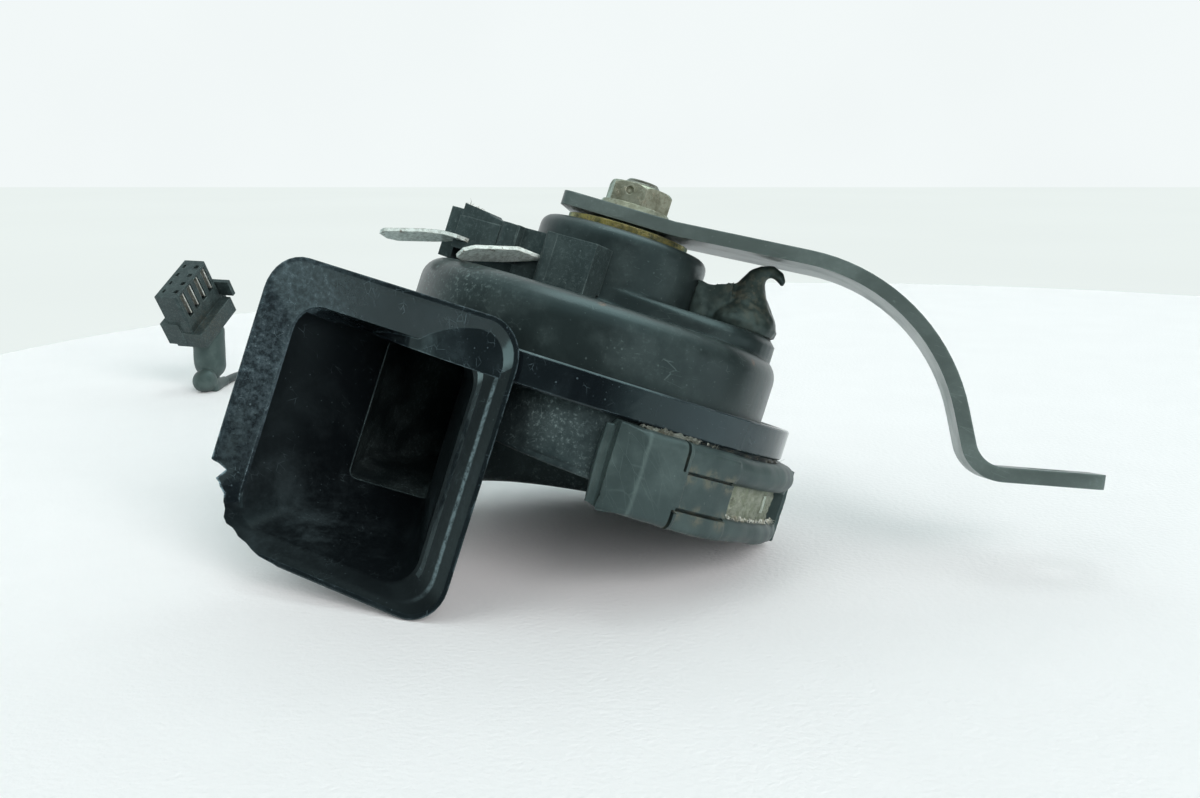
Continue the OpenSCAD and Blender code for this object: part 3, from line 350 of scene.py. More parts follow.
# Trumpet's upper moulding. Glossy black plastic, moulded in one piece: the plate under the
# horn, the collar round it, and a bell that flares to a square mouth. A corner of the mouth
# is broken off. It is drawn upright in millimetres, as a maker draws it, and then laid down.
MM = 0.001
LAID = Matrix.Translation((-0.0176, 0.0023, 0.0337)) @ Euler(
    [math.radians(a) for a in (-12.6, 15.3, -13.3)]).to_matrix().to_4x4() @ Matrix.Scale(MM, 4)
UNLAID = LAID.inverted()
HORN_AXIS = (0.300795, 0.15305, 0.941328)
PLATE_T, COLLAR_H, COLLAR_R, BORE_R, THROAT_R = 2.0, 6.5, 46.4, 44.4, 8.0
MOUTH_TURN, THROAT_TURN = -11.9, 20.0
MOUTH_W, MOUTH_H, MOUTH_TOP, MOUTH_CORNER, MOUTH_WALL = 59.8, 60.3, 11.3, 8.5, 1.5
DUCT_R, DUCT_W, DUCT_H, DUCT_WALL, DUCT_START = 42.0, 18.0, 31.0, 2.0, 200.0
MOUTH_AT = Vector((-32.1, -41.7))
THROAT_AT = (DUCT_R - DUCT_W / 2) * Vector((math.cos(math.radians(DUCT_START)),
                                            math.sin(math.radians(DUCT_START))))
mouth_centre = Vector((*MOUTH_AT, MOUTH_TOP - MOUTH_H / 2))
throat_centre = Vector((*THROAT_AT, -DUCT_H / 2))
LIP_ROUND, LIP_DEEP, LIP_STEP = 0.45, 0.14, 0.004
CORNER_FACETS, SIDE_FACETS, LONG_SIDE = 8, 8, 4


def spot(x, y, z):
    """The place on the laid horn of a point of the upright one."""
    return LAID @ Vector((x, y, z))


def lerp(a, b, t):
    return a + (b - a) * t


def mouth_outline(right, left, top, bottom, corner):
    """A rounded rectangle with facets along its corners and its straight sides."""
    points = []
    for x, z, start in ((right - corner, top - corner, 0), (corner - left, top - corner, 90),
                        (corner - left, corner - bottom, 180),
                        (right - corner, corner - bottom, 270)):
        for i in range(CORNER_FACETS + 1):
            a = math.radians(start + 90 * i / CORNER_FACETS)
            points.append(Vector((x + corner * math.cos(a), z + corner * math.sin(a))))
    outline = []
    for a, b in zip(points, points[1:] + points[:1]):
        facets = SIDE_FACETS if (b - a).length > LONG_SIDE else 1
        outline += [a.lerp(b, i / facets) for i in range(facets)]
    return outline


# How each side of the bell flares: the lip's share of it, and the power of the rest.
RIGHT_FLARE, LEFT_FLARE, TOP_FLARE, LOW_FLARE = (0.25, 1.7), (0.2, 1), (0.7, 1.5), (0.06, 1)


def flare(mouth, throat, s, crisp, lip, power):
    """One side of the bell at a share s of its depth: the lip's flare, then an even taper."""
    straight = (1 - lip) * max(1 - s, 0) ** power
    fall = max(0.0, 1 - s / LIP_DEEP) if crisp else math.exp(-8 * s) * (1 - s)
    return throat + (mouth - throat) * (straight + lip * fall)


def bell_ring(s, wall, crisp=False):
    """The bell's section at a share s of its depth, with a wall's thickness round it."""
    turn = math.radians(lerp(MOUTH_TURN, THROAT_TURN, s * s * (3 - 2 * s)))
    middle = MOUTH_AT.lerp(THROAT_AT, s)
    level = lerp(MOUTH_TOP - MOUTH_H / 2, -DUCT_H / 2, s)
    half = MOUTH_W / 2 - MOUTH_WALL
    right = flare(half, DUCT_W / 2, s, crisp, *RIGHT_FLARE) + wall
    left = flare(half, DUCT_W / 2, s, crisp, *LEFT_FLARE) + wall
    top = flare(MOUTH_TOP - MOUTH_WALL, 0, s, crisp, *TOP_FLARE) + wall - level
    low = flare(MOUTH_TOP - MOUTH_H + MOUTH_WALL, -DUCT_H, s, crisp, *LOW_FLARE)
    corner = lerp(MOUTH_CORNER - MOUTH_WALL, 2, s) + wall * (1 - s)
    outline = mouth_outline(right, left, top, level - low + wall, corner)
    return [(middle.x + p.x * math.cos(turn), middle.y + p.x * math.sin(turn), level + p.y)
            for p in outline]


def skinned(rings, endless=False):
    """A closed mesh over rings of as many points each. The ends are closed, or they meet."""
    n, count, faces = len(rings[0]), len(rings), []
    for j in range(count if endless else count - 1):
        here, ahead = j * n, (j + 1) % count * n
        faces += [(here + i, here + (i + 1) % n, ahead + (i + 1) % n, ahead + i)
                  for i in range(n)]
    if not endless:
        faces += [range(n), range((count - 1) * n, count * n)]
    mesh = bpy.data.meshes.new("skin")
    mesh.from_pydata([p for ring in rings for p in ring], [], faces)
    return outward(mesh)


def outward(mesh):
    """Turns every face of a closed mesh to the outside."""
    work = bmesh.new()
    work.from_mesh(mesh)
    bmesh.ops.recalc_face_normals(work, faces=work.faces)
    work.to_mesh(mesh)
    work.free()
    return mesh


def turned(profile, steps=192, start=0.0, sweep=360.0):
    """A solid of revolution, or a sector of one, from a profile of radius and height."""
    endless = sweep == 360
    rings = []
    for i in range(steps if endless else steps + 1):
        a = math.radians(start + sweep * i / steps)
        rings.append([(r * math.cos(a), r * math.sin(a), z) for r, z in profile])
    return skinned(rings, endless)


def drum(radius, low, high):
    """A plain cylinder on the horn's axis."""
    angles = [math.tau * i / 192 for i in range(192)]
    return skinned([[(radius * math.cos(a), radius * math.sin(a), z) for a in angles]
                    for z in (low, high)])


def prism(outline, low, high, turn):
    """A block with an outline in x and y between two levels, and then turned by a matrix."""
    mesh = skinned([[(x, y, z) for x, y in outline] for z in (low, high)])
    mesh.transform(turn)
    return mesh


def worked(mesh, modifiers):
    """The mesh after a list of modifiers, each a kind and its settings."""
    piece = bpy.data.objects.new("work", mesh)
    bpy.context.scene.collection.objects.link(piece)
    for kind, settings in modifiers:
        step = piece.modifiers.new(kind, kind)
        for name, value in settings.items():
            setattr(step, name, value)
    seen_from = bpy.context.evaluated_depsgraph_get()
    result = bpy.data.meshes.new_from_object(piece.evaluated_get(seen_from))
    bpy.data.objects.remove(piece)
    return result


def joined(mesh, tools, operation):
    """The mesh with other meshes added or cut away."""
    helpers = [bpy.data.objects.new("tool", tool) for tool in tools]
    for helper in helpers:
        bpy.context.scene.collection.objects.link(helper)
    mesh = worked(mesh, [("BOOLEAN", {"operation": operation, "solver": "MANIFOLD",
                                      "object": helper}) for helper in helpers])
    for helper in helpers:
        bpy.data.objects.remove(helper)
    return mesh


def smoothed(mesh, sharp=32):
    """Smooth shading, with the edges over a number of degrees left crisp."""
    mesh.shade_smooth()
    mesh.set_sharp_from_angle(angle=math.radians(sharp))
    return mesh


def put(name, mesh, finish, instead=()):
    """Adds a piece to the horn, for the nodes that it stands for."""
    mesh.materials.clear()
    mesh.materials.append(finish)
    piece = bpy.data.objects.new(name, mesh)
    bpy.context.scene.collection.objects.link(piece)
    if instead:
        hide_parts(*instead)
    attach(piece, "horn")
    return piece


BELL_RINGS, EDGE_R = 36, 0.35
BROKEN_CORNER = [
    (-32, -14.4), (-30.6, -14.2), (-29.4, -14.8), (-27.9, -15.1), (-26.4, -16), (-27.0, -17.1),
    (-27.6, -18.2), (-26.9, -18.9), (-26.6, -19.6), (-25.6, -20.8), (-25.2, -22.3),
    (-24.4, -23.6), (-23.9, -25.2), (-22.8, -26.2), (-21.2, -26.6), (-19, -27.6),
    (-16.2, -28.1), (-12, -29.4), (-8.4, -29.7), (-5, -30.4), (-5, -33), (-32, -33)]
depths = [(i / BELL_RINGS) ** 1.5 for i in range(BELL_RINGS + 1)]
outer = [bell_ring(0, MOUTH_WALL - LIP_ROUND), bell_ring(LIP_STEP, MOUTH_WALL - 0.12)]
outer += [bell_ring(max(s, 0.01), lerp(MOUTH_WALL, DUCT_WALL, s)) for s in depths]
inner = [bell_ring(-0.02, LIP_ROUND * 1.3, True), bell_ring(LIP_STEP, LIP_ROUND * 0.3, True)]
inner += [bell_ring(s, 0, True) for s in sorted(depths[4:-1] + [LIP_DEEP])]
inner.append(bell_ring(1.02, 0))
collar = turned([(0.001, 0), (COLLAR_R - EDGE_R, 0), (COLLAR_R, EDGE_R),
                 (COLLAR_R, COLLAR_H - EDGE_R), (COLLAR_R - EDGE_R, COLLAR_H),
                 (BORE_R + EDGE_R, COLLAR_H), (BORE_R, COLLAR_H - EDGE_R), (BORE_R, PLATE_T),
                 (0.001, PLATE_T)])
airway = joined(skinned(inner), [drum(COLLAR_R, 0, MOUTH_TOP + 5)], "DIFFERENCE")
mouth_plane = Matrix.Translation(mouth_centre) @ Euler(
    (math.radians(90), 0, math.radians(MOUTH_TURN))).to_matrix().to_4x4()
horn_bell = joined(skinned(outer), [collar], "UNION")
horn_bell = joined(horn_bell, [
    airway, drum(BORE_R, PLATE_T, MOUTH_TOP + 9), drum(THROAT_R, -1, PLATE_T + 1),
    prism(BROKEN_CORNER, -4.5, 4.5, mouth_plane)], "DIFFERENCE")
horn_bell.transform(LAID)

# The lip is dull and mottled on its left side, with a worn line round it, and the break is
# chipped white. The collar is smooth, with a painted sheen on its right.
a = math.radians(MOUTH_TURN)
inward = LAID.to_3x3().normalized() @ Vector((-math.sin(a), math.cos(a), 0))
lip_at = spot(*MOUTH_AT, 0)
skin = Finish("bell_gloss")
smear = skin.noise(0.016, 6, 0.62, bend=0.4).between(0.46, 0.74)
mottle = skin.noise(0.0013, 7, 0.75).between(0.36, 0.80)
depth = skin.level(lip_at, inward)
rim = depth.between(0.0062, 0.0050)
lip_line = depth.between(0.0030, 0.0042) * depth.between(0.0060, 0.0046)
left_lip = skin.near(spot(-61, -36, -12), 0.034).most(skin.near(spot(-58, -35, 8), 0.026))
specks = skin.specks(0.0013, 0.14).most(skin.specks(0.0006, 0.10) * 0.6)
hairlines = skin.hairlines(0.0016, 0.020, (25, 40, 70), 12, 0.56, 0.66)
worn_edge = skin.edges(0.0005) * skin.noise(0.004, 5, 0.7).between(0.42, 0.6)
chips = (skin.edges(0.0007) * skin.near(spot(-57.5, -36.3, -38.9), 0.017).between(0, 0.4)
         * skin.noise(0.0014, 4, 0.7).between(0.46, 0.58))
film_and_highlight = (smear * 0.03 + chips + (mottle * 0.26 + 0.03) * left_lip * rim
        + mottle * smear * 0.05 * rim + specks * 0.14 + hairlines * 0.25 * rim
        + worn_edge * 0.26 + lip_line * left_lip * 0.12
        # The last term is a painted reflection that lightens the collar's right side.
        + skin.near(spot(38, -27, 3), 0.036) * 0.06)
tone = skin.mix(film_and_highlight.clamped(), (0.0035, 0.0052, 0.0066), (0.23, 0.33, 0.37))
gloss = 0.10 + smear * 0.14 + mottle * left_lip * rim * 0.25 + specks * 0.3 + hairlines * 0.2
wave = skin.noise(0.010, 3, 0.5) + skin.noise(0.0008, 3, 0.6) * 0.02 - hairlines * 0.05
bell_gloss = skin.closed(tone, gloss, bump=wave, height=0.00018, soft=0.00025)
bell = put("bell_moulding", smoothed(horn_bell, 20), bell_gloss,
           instead=["trumpet_bell"])

# Past its lip the bell was never polished: it is a dull, very dark black, with the haze of
# finger smudges on its walls and floor, and a painted highlight on the right lip's ridge.
skin = Finish("bell_inside")
smear = skin.noise(0.011, 6, 0.62, bend=0.5).between(0.46, 0.76)
mottle = skin.noise(0.0014, 7, 0.75).between(0.38, 0.78)
hazy = skin.near(spot(-40, -30, -42), 0.026).most(skin.near(spot(-6, -36, -24), 0.030) * 0.9)
hairlines = skin.hairlines(0.0016, 0.016, (25, 40, 70), 12, 0.56, 0.66)
depth = skin.level(lip_at, inward)
# A painted highlight: a pale line along the ridge where the right lip starts.
ridge_highlight = (depth.between(0.0012, 0.0015) * depth.between(0.0020, 0.0017)
         * skin.near(spot(-3, -47, -17), 0.034).between(0, 0.3)
         * (skin.noise(0.0011, 5, 0.8).between(0.36, 0.60) * 0.8 + 0.2))
film_and_highlight = (smear * 0.02 + hazy * (mottle * 0.05 + smear * 0.07) + skin.specks(0.0009, 0.10) * 0.12
        + hairlines * 0.16 + skin.edges(0.0004) * 0.05 + ridge_highlight * 0.6)
tone = skin.mix(film_and_highlight.clamped(), (0.0030, 0.0042, 0.0050), (0.20, 0.28, 0.30))
bell.data.materials.append(skin.closed(
    tone, 0.34 + smear * 0.15, bump=skin.noise(0.0008, 3, 0.6), height=0.00003,
    Specular_IOR_Level=0.14))
POLISHED, LOW_SIDE, RIGHT_SIDE, BELL_REACH = 0.0042, -22, 22, 40
airflow = (throat_centre - mouth_centre).normalized()
for face in bell.data.polygons:
    place = UNLAID @ face.center - mouth_centre
    middle = airflow * place.dot(airflow)
    faces_in = (LAID.to_3x3() @ (middle - place)).dot(face.normal) > 0
    under_plate = place.z + mouth_centre.z < 0.05
    past_lip = inward.dot(face.center - lip_at) > POLISHED
    bare_lip = place.x > RIGHT_SIDE or place.z < LOW_SIDE
    in_reach = (place - middle).length < BELL_REACH
    if faces_in and under_plate and (past_lip or bare_lip) and in_reach:
        face.material_index = 1


# Trumpet's lower moulding. The spiral duct and its floor in a duller black plastic, glued
# under the plate. Road dust has settled on it in fine pale specks, and it is scratched.
THROAT_H, DUCT_TURN, DUCT_LIP, END_R, END_W = 8.0, 400.0, 1.2, 9, 8
EASE_FROM, EASE_TURN, CORNER, DUCT_STEP = 260.0, 130.0, 1.6, 4


def duct_section(u, wall, lip, top):
    """Radius and height round the duct's section, at u degrees past the bell."""
    eased = 0 if u < EASE_FROM else min(1, (u - EASE_FROM) / EASE_TURN)
    out = lerp(DUCT_R, END_R, (1 - math.cos(math.pi * eased)) / 2)
    wide = lerp(DUCT_W, END_W, (max(u, 0) / DUCT_TURN) ** 0.7)
    deep = THROAT_H + (DUCT_H - THROAT_H) * ((DUCT_TURN - u) / DUCT_TURN) ** 1.8 + wall
    r1, r0, c = out + wall, max(out - wide - wall, 0.6), CORNER + wall / 2
    quarter = [math.radians(90 * i / 5) for i in range(6)]
    if lip:
        foot = [(r1, -deep + 2.6), (r1 + lip * 0.5, -deep + 1.6), (r1 + lip, -deep + 1.2),
                (r1 + lip, -deep + 0.3), (r1 + lip - 0.3, -deep)]
    else:
        foot = [(r1 - c + c * math.cos(a), c - deep - c * math.sin(a)) for a in quarter]
    heel = [(r0 + c - c * math.sin(a), c - deep - c * math.cos(a)) for a in quarter]
    return [(r0, top), (r1, top)] + foot + heel


def duct(wall, lip, top, start, end):
    """The duct from one turn to another, in degrees past the bell, with a wall round it."""
    rings = []
    for i in range(round((end - start) / DUCT_STEP) + 1):
        u = start + DUCT_STEP * i
        a = math.radians(DUCT_START - u)
        rings.append([(r * math.cos(a), r * math.sin(a), z)
                      for r, z in duct_section(u, wall, lip, top)])
    return skinned(rings)


horn_duct = joined(duct(DUCT_WALL, DUCT_LIP, 0, 0, DUCT_TURN),
                   [drum(THROAT_R + DUCT_WALL, -THROAT_H - DUCT_WALL, 0)], "UNION")
horn_duct = joined(horn_duct, [duct(0, 0, 1, -5, DUCT_TURN - 5), drum(THROAT_R, -THROAT_H, 1)],
                   "DIFFERENCE")
horn_duct.transform(LAID)

skin = Finish("duct_plastic")
cloud = skin.noise(0.009, 6, 0.65).between(0.4, 0.7)
powder = skin.noise(0.0007, 4, 0.7).between(0.5, 0.72)
specks = skin.dots(0.0011, 0.34, 0.0006, 0.30)
rubbed = skin.near(spot(-10, -45, -10), 0.022)
cuts = (skin.scratches(0.0012, 0.035, (10, 60, 40), 7) * rubbed
        * skin.noise(0.003, 3).between(0.52, 0.62))
share = powder * cloud * 0.5 + specks * 0.22 + cloud * 0.12 + cuts * 0.9
tone = skin.mix(share.clamped(), (0.010, 0.015, 0.016), (0.20, 0.27, 0.265))
duct_dull = skin.closed(tone, 0.42 + cloud * 0.2, bump=powder + specks - cuts, height=0.00004,
                        soft=0.0002)
put("duct_moulding", smoothed(horn_duct), duct_dull, instead=["trumpet_spiral"])


# Can. Pressed steel in satin black paint: a round body with a shoulder, a cap over the coil
# and a pear-shaped terrace. The paint has a slight orange peel, dust on the shoulder, fine
# scratches and a few rust pricks.
def dress(names, finish):
    """Gives a finish to nodes that keep their own shape."""
    for name in names.split():
        nodes[name].data.materials.clear()
        nodes[name].data.materials.append(finish)


skin = Finish("black_paint")
haze = skin.noise(0.012, 6, 0.62).between(0.42, 0.70)
powder = skin.noise(0.0009, 4, 0.7).between(0.5, 0.75)
dusty = skin.near(spot(-36, -14, 18), 0.030).most(skin.near(spot(-22, -28, 20), 0.018) * 0.8)
crumbs = skin.specks(0.0010, 0.45) * dusty
flat = skin.upward().between(0.55, 0.98)
specks = skin.dots(0.0014, 0.16, 0.0007, 0.12)
hairlines = skin.hairlines(0.0018, 0.018, (80, 20, 15), 12, 0.58, 0.68)
rust = skin.specks(0.006, 0.05) * skin.noise(0.0006, 4, 0.7).between(0.4, 0.6)
worn_edge = skin.edges(0.0006) * skin.noise(0.003, 5, 0.7).between(0.45, 0.65)
share = (powder * dusty * 0.9 + crumbs * 0.9 + haze * 0.07 + powder * haze * 0.10
         + specks * 0.16 + flat * 0.05 + hairlines * 0.22 + worn_edge * 0.25)
tone = skin.mix(share.clamped(), (0.010, 0.015, 0.015), (0.20, 0.27, 0.26))
tone = skin.mix(rust * 0.8, tone, (0.16, 0.075, 0.03))
peel = (skin.noise(0.0016, 2, 0.4) * 0.5 + skin.noise(0.0003, 3, 0.6) * 0.2
        - hairlines * 0.3 + specks * 0.3)
rough = 0.30 + haze * 0.14 + dusty * powder * 0.3 + specks * 0.2
dress("can", skin.closed(tone, rough, bump=peel, height=0.00004, soft=0.0014))


# Strap bracket. A 3 mm steel strap, bent down in a wide arc, in thin black paint that has
# gone grey with dust. It is paler along its cut edges, it has a painted reflection of the
# white table on the faces that turn down, and the head's underside has brown dirt.
skin = Finish("bracket_paint")
haze = skin.noise(0.010, 6, 0.62, skin.place((1.8, 1, 1))).between(0.42, 0.70)
powder = skin.noise(0.0008, 4, 0.7).between(0.45, 0.75)
under = skin.upward().between(0.1, -0.7) * skin.near(spot(0, 0, 38), 0.045)
bend = skin.upward().between(0.2, -0.2) * skin.near(spot(60, 0, 20), 0.050)
specks = skin.dots(0.0012, 0.15, 0.0006, 0.12)
hairlines = skin.hairlines(0.0016, 0.02, (0, 20, -12), 14, 0.54, 0.66)
worn_edge = skin.edges(0.0006) * skin.noise(0.003, 5, 0.7).between(0.35, 0.6)
share = (haze * 0.12 + powder * haze * 0.10 + specks * 0.12 + hairlines * 0.25
         + worn_edge * 0.30 + 0.05)
tone = skin.mix(share.clamped(), (0.046, 0.060, 0.056), (0.25, 0.32, 0.30))
# Painted reflection: the bend's downward faces are lightened as if they mirrored the white table.
tone = skin.mix(bend * powder.most(0.6) * 0.8, tone, (0.42, 0.49, 0.46))
tone = skin.mix(under * haze * 0.9, tone, (0.17, 0.145, 0.10))
relief = skin.noise(0.0014, 3, 0.5) * 0.5 + powder * 0.2 - hairlines * 0.3
dress("bracket", skin.closed(tone, 0.30 + haze * 0.16 + specks * 0.2, bump=relief,
                             height=0.00004, soft=0.0005))


# Nut, washers and stud. Zinc-plated steel gone dull: a lock nut on its captive washer, the
# end of the stud with its thread, and a seat washer whose yellow chromate still shows. The
# clamp ring, the rivets and the brass pieces of the contact breaker are finished alike.
def plating(name, bright, dull, rough, scratch=0.5, thread=0.0):
    """Worn metal with a dull cloud, brown dirt, scratches, bright edges and maybe a thread."""
    skin = Finish(name)
    cloud = skin.noise(0.003, 6, 0.65).between(0.38, 0.66)
    dirt = skin.noise(0.0012, 5, 0.7).between(0.52, 0.70)
    lines = (skin.scratches(0.0008, 0.04, (15, 30, 80), 8)
             * skin.noise(0.002, 3).between(0.48, 0.6))
    worn = (lines * scratch + skin.edges(0.0004) * 0.35).clamped()
    tone = skin.mix(dirt * 0.7, skin.mix(cloud, bright, dull), (0.10, 0.085, 0.05))
    tone = skin.mix(worn, tone, [min(1, 1.5 * c + 0.15) for c in bright])
    relief = cloud * 0.5 + dirt - lines * 0.5
    if thread:
        along = skin.measure("DOT_PRODUCT", skin.coordinate(), HORN_AXIS)
        relief = relief + along.wave(thread) * 6
    return skin.closed(tone, rough + cloud * 0.14 + dirt * 0.2, 0.85 - dirt * 0.7,
                       bump=relief, height=0.00005, soft=0.00025)


STUD_PITCH = 0.00125
dress("lock_nut nut_washer", plating("nut_zinc", (0.40, 0.40, 0.31), (0.24, 0.235, 0.17), 0.36))
dress("core_stud", plating("stud_steel", (0.30, 0.30, 0.26), (0.16, 0.155, 0.13), 0.4,
                           thread=STUD_PITCH))
dress("thin_washer",
      plating("thin_washer_zinc", (0.13, 0.145, 0.115), (0.07, 0.08, 0.06), 0.45))
dress("seat_washer",
      plating("yellow_zinc", (0.34, 0.28, 0.09), (0.085, 0.095, 0.06), 0.38, scratch=0.8))
dress("clamp_ring", plating("ring_steel", (0.30, 0.31, 0.29), (0.15, 0.155, 0.145), 0.4))
dress("terminal_rivets", plating("rivet_brass", (0.36, 0.30, 0.15), (0.16, 0.14, 0.09), 0.4))
dress("adjusting_screw contact_fixed_arm contact_moving_arm contact_post",
      plating("brass", (0.52, 0.40, 0.18), (0.36, 0.27, 0.12), 0.35))


# Inside the can. The coil on its bobbin, the armature on the spring diaphragm with its paper
# gaskets, and the contact breaker. None of it shows, but each piece has its own finish.
def inner_finish(name, colour, rough, metallic=0.0, grain=0.0008, relief=0.00003):
    """A clean surface with a faint cloud in its colour and a fine grain."""
    skin = Finish(name)
    cloud = skin.noise(0.004, 5, 0.6).between(0.38, 0.68)
    tone = skin.mix(cloud * 0.5, colour, [0.6 * c for c in colour])
    return skin.closed(tone, rough + cloud * 0.1, metallic, bump=skin.noise(grain, 3, 0.6),
                       height=relief, soft=0.0002)


dress("coil_bobbin", inner_finish("bobbin_nylon", (0.62, 0.58, 0.45), 0.5))
dress("armature armature_rivet", inner_finish("bare_steel", (0.34, 0.34, 0.33), 0.35, 0.9))
dress("diaphragm", inner_finish("spring_steel", (0.42, 0.43, 0.43), 0.25, 1.0))
dress("gasket_upper gasket_lower",
      inner_finish("gasket_paper", (0.16, 0.10, 0.06), 0.85, 0.0, 0.0005, 0.0001))
dress("contact_insulator contact_button", inner_finish("fibre_board", (0.42, 0.30, 0.15), 0.7))
dress("contact_fixed contact_moving",
      inner_finish("contact_silver", (0.62, 0.62, 0.60), 0.3, 1.0))

WIRE_PITCH = 0.0005
skin = Finish("copper_wire")
turns = skin.measure("DOT_PRODUCT", skin.coordinate(), HORN_AXIS).wave(WIRE_PITCH)
tone = skin.mix(turns.between(-1, 0.4), (0.14, 0.045, 0.015), (0.50, 0.20, 0.07))
dress("coil_winding", skin.closed(tone, 0.3, 0.85, bump=turns, height=0.0001))


# Terminal block and blades. A matte black moulding riveted to the can's shoulder, with dust
# in its corners, and two tinned brass blades, bent in use, with scratches and brown spots.
skin = Finish("block_plastic")
haze = skin.noise(0.006, 6, 0.65).between(0.42, 0.68)
powder = skin.noise(0.0008, 5, 0.7).between(0.48, 0.72)
specks = skin.dots(0.0011, 0.22, 0.0005, 0.22)
worn_edge = skin.edges(0.0005)
flat = skin.upward().between(0.2, 0.95)
share = (haze * 0.07 + powder * 0.10 + specks * 0.20 + worn_edge * 0.26 * (haze + 0.3)
         + flat * powder * 0.18)
tone = skin.mix(share.clamped(), (0.017, 0.025, 0.025), (0.23, 0.31, 0.30))
relief = powder * 0.6 + skin.noise(0.002, 3) + specks * 0.5
dress("terminal_block",
      skin.closed(tone, 0.50 + haze * 0.15, bump=relief, height=0.00006, soft=0.0003))

skin = Finish("tinned_brass")
cloud = skin.noise(0.0011, 7, 0.75, skin.place((1, 3, 1), (0, 0, 20))).between(0.40, 0.62)
lines = skin.scratches(0.0005, 0.06, (10, 15, 30), 12) * 0.8
brown = skin.noise(0.0014, 5, 0.7).between(0.60, 0.70)
edge_dark = skin.edges(0.0003) * skin.noise(0.002, 4).between(0.40, 0.6)
tone = skin.mix(cloud, (0.76, 0.84, 0.80), (0.46, 0.52, 0.48))
tone = skin.mix(lines, tone, (0.76, 0.85, 0.80))
tone = skin.mix((brown * 0.9 + edge_dark * 0.7).clamped(), tone, (0.12, 0.085, 0.05))
tinned = skin.closed(tone, 0.45 + cloud * 0.18 + brown * 0.2, 0.15 - brown * 0.15,
                     bump=lines + cloud * 0.6 - brown, height=0.00005, soft=0.00015)
dress("terminal_blade_left terminal_blade_right", tinned)


# Sealant. A blob of black sealing compound over the adjusting screw. It was pulled up while
# soft, so it runs up the cap in a web and ends in a curled tip.
def softened(node, voxel, rounds):
    """A copy of a node's solid with soft edges, as rubber and compound have them."""
    return worked(nodes[node].data.copy(), [
        ("REMESH", {"mode": "VOXEL", "voxel_size": voxel}),
        ("SMOOTH", {"factor": 0.5, "iterations": rounds})])


def uneven(mesh, size, depth, seed, slack=None):
    """Moves every point of a mesh in or out by smooth noise, most where it is slack."""
    normals = [v.normal.copy() for v in mesh.vertices]
    for v, normal in zip(mesh.vertices, normals):
        p = v.co / size + Vector((seed, 2 * seed, 3 * seed))
        share = slack(v.co) if slack else 1.0
        v.co += normal * depth * share * noise.noise(p)
    return mesh


seal = uneven(softened("adjuster_seal", 0.00030, 5), 0.006, 0.0006, 3.0)
seal = uneven(seal, 0.0016, 0.00018, 5.0)
skin = Finish("sealant")
haze = skin.noise(0.005, 5, 0.6).between(0.40, 0.68)
rim = skin.noise(0.0015, 4, 0.6).between(0.45, 0.65) * skin.near(spot(31, -3, 33), 0.012)
specks = skin.specks(0.0009, 0.14)
tone = skin.mix((haze * 0.30 + specks * 0.3).clamped(), (0.014, 0.021, 0.019), (0.09, 0.12, 0.105))
tone = skin.mix(rim * 0.30, tone, (0.14, 0.13, 0.09))
sealant = skin.closed(tone, 0.34 + haze * 0.16, bump=skin.noise(0.0012, 4, 0.6), height=0.00006)
put("seal_blob", smoothed(seal, 60), sealant, instead=["adjuster_seal"])


# Metal band and foam. A thin steel band runs round the duct under the boot. In the window it
# is faced with old adhesive round its bare slot. A torn foam pad is left on the boot's block.
skin = Finish("adhesive")
cloud = skin.noise(0.0022, 6, 0.7).between(0.36, 0.64)
crumbs = skin.noise(0.0006, 5, 0.75).between(0.42, 0.66)
dark = skin.noise(0.0016, 4, 0.6).between(0.60, 0.70)
tone = skin.mix(cloud, (0.20, 0.23, 0.165), (0.30, 0.33, 0.265))
tone = skin.mix(dark * 0.7, tone, (0.07, 0.07, 0.05))
adhesive = skin.closed(tone, 0.8 - crumbs * 0.2, bump=crumbs + cloud, height=0.00020, soft=0.0002)
dress("metal_band", adhesive)
BAND_R, BAND_LOW, BAND_TOP, WINDOW_R = 45.2, -13.4, -5.6, 46.9
strip = turned([(BAND_R, BAND_LOW), (WINDOW_R, BAND_LOW), (WINDOW_R + 0.2, -9.5),
                (WINDOW_R, BAND_TOP), (BAND_R, BAND_TOP)], 60, -37, 43)
strip.transform(LAID)
strip = worked(strip, [("REMESH", {"mode": "VOXEL", "voxel_size": 0.00022})])
put("adhesive_strip", smoothed(uneven(strip, 0.0013, 0.0004, 4.0), 60), adhesive)
SLOT_R, SLOT_LOW, SLOT_TOP = WINDOW_R + 0.45, -11.2, -7.6
slot_plate = turned([(46, SLOT_LOW), (SLOT_R, SLOT_LOW), (SLOT_R, SLOT_TOP), (46, SLOT_TOP)],
                    8, -14.0, 1.8)
slot_plate.transform(LAID)
slot_steel = plating("slot_steel", (0.52, 0.56, 0.48), (0.36, 0.38, 0.31), 0.45)
put("band_slot", smoothed(slot_plate), slot_steel)

torn_foam = uneven(softened("foam_pad", 0.00022, 2), 0.0022, 0.0009, 8.0)
torn_foam = uneven(torn_foam, 0.0007, 0.0005, 9.0)
skin = Finish("old_foam")
cells = skin.noise(0.0005, 5, 0.8).between(0.40, 0.62)
stain = skin.noise(0.003, 4, 0.6).between(0.45, 0.65)
tone = skin.mix(stain, (0.22, 0.25, 0.21), (0.09, 0.09, 0.06))
tone = skin.mix(cells * 0.4, tone, (0.50, 0.53, 0.48))
put("torn_foam", smoothed(torn_foam, 70), skin.closed(tone, 0.95, bump=cells, height=0.0003),
    instead=["foam_pad"])


# Rubber boot. A moulded cover of soft grey-black rubber with rolled edges, a block and a tab,
# stretched over the duct's rim. It has a satin bloom, and brown adhesive on its cut edges.
def boot_slack(place):
    """How slack the boot's wall is: from 0.5 to 1.5, at its free lower edge."""
    return 0.5 + max(0.0, min(1.0, (-10 - (UNLAID @ place).z) / 6))


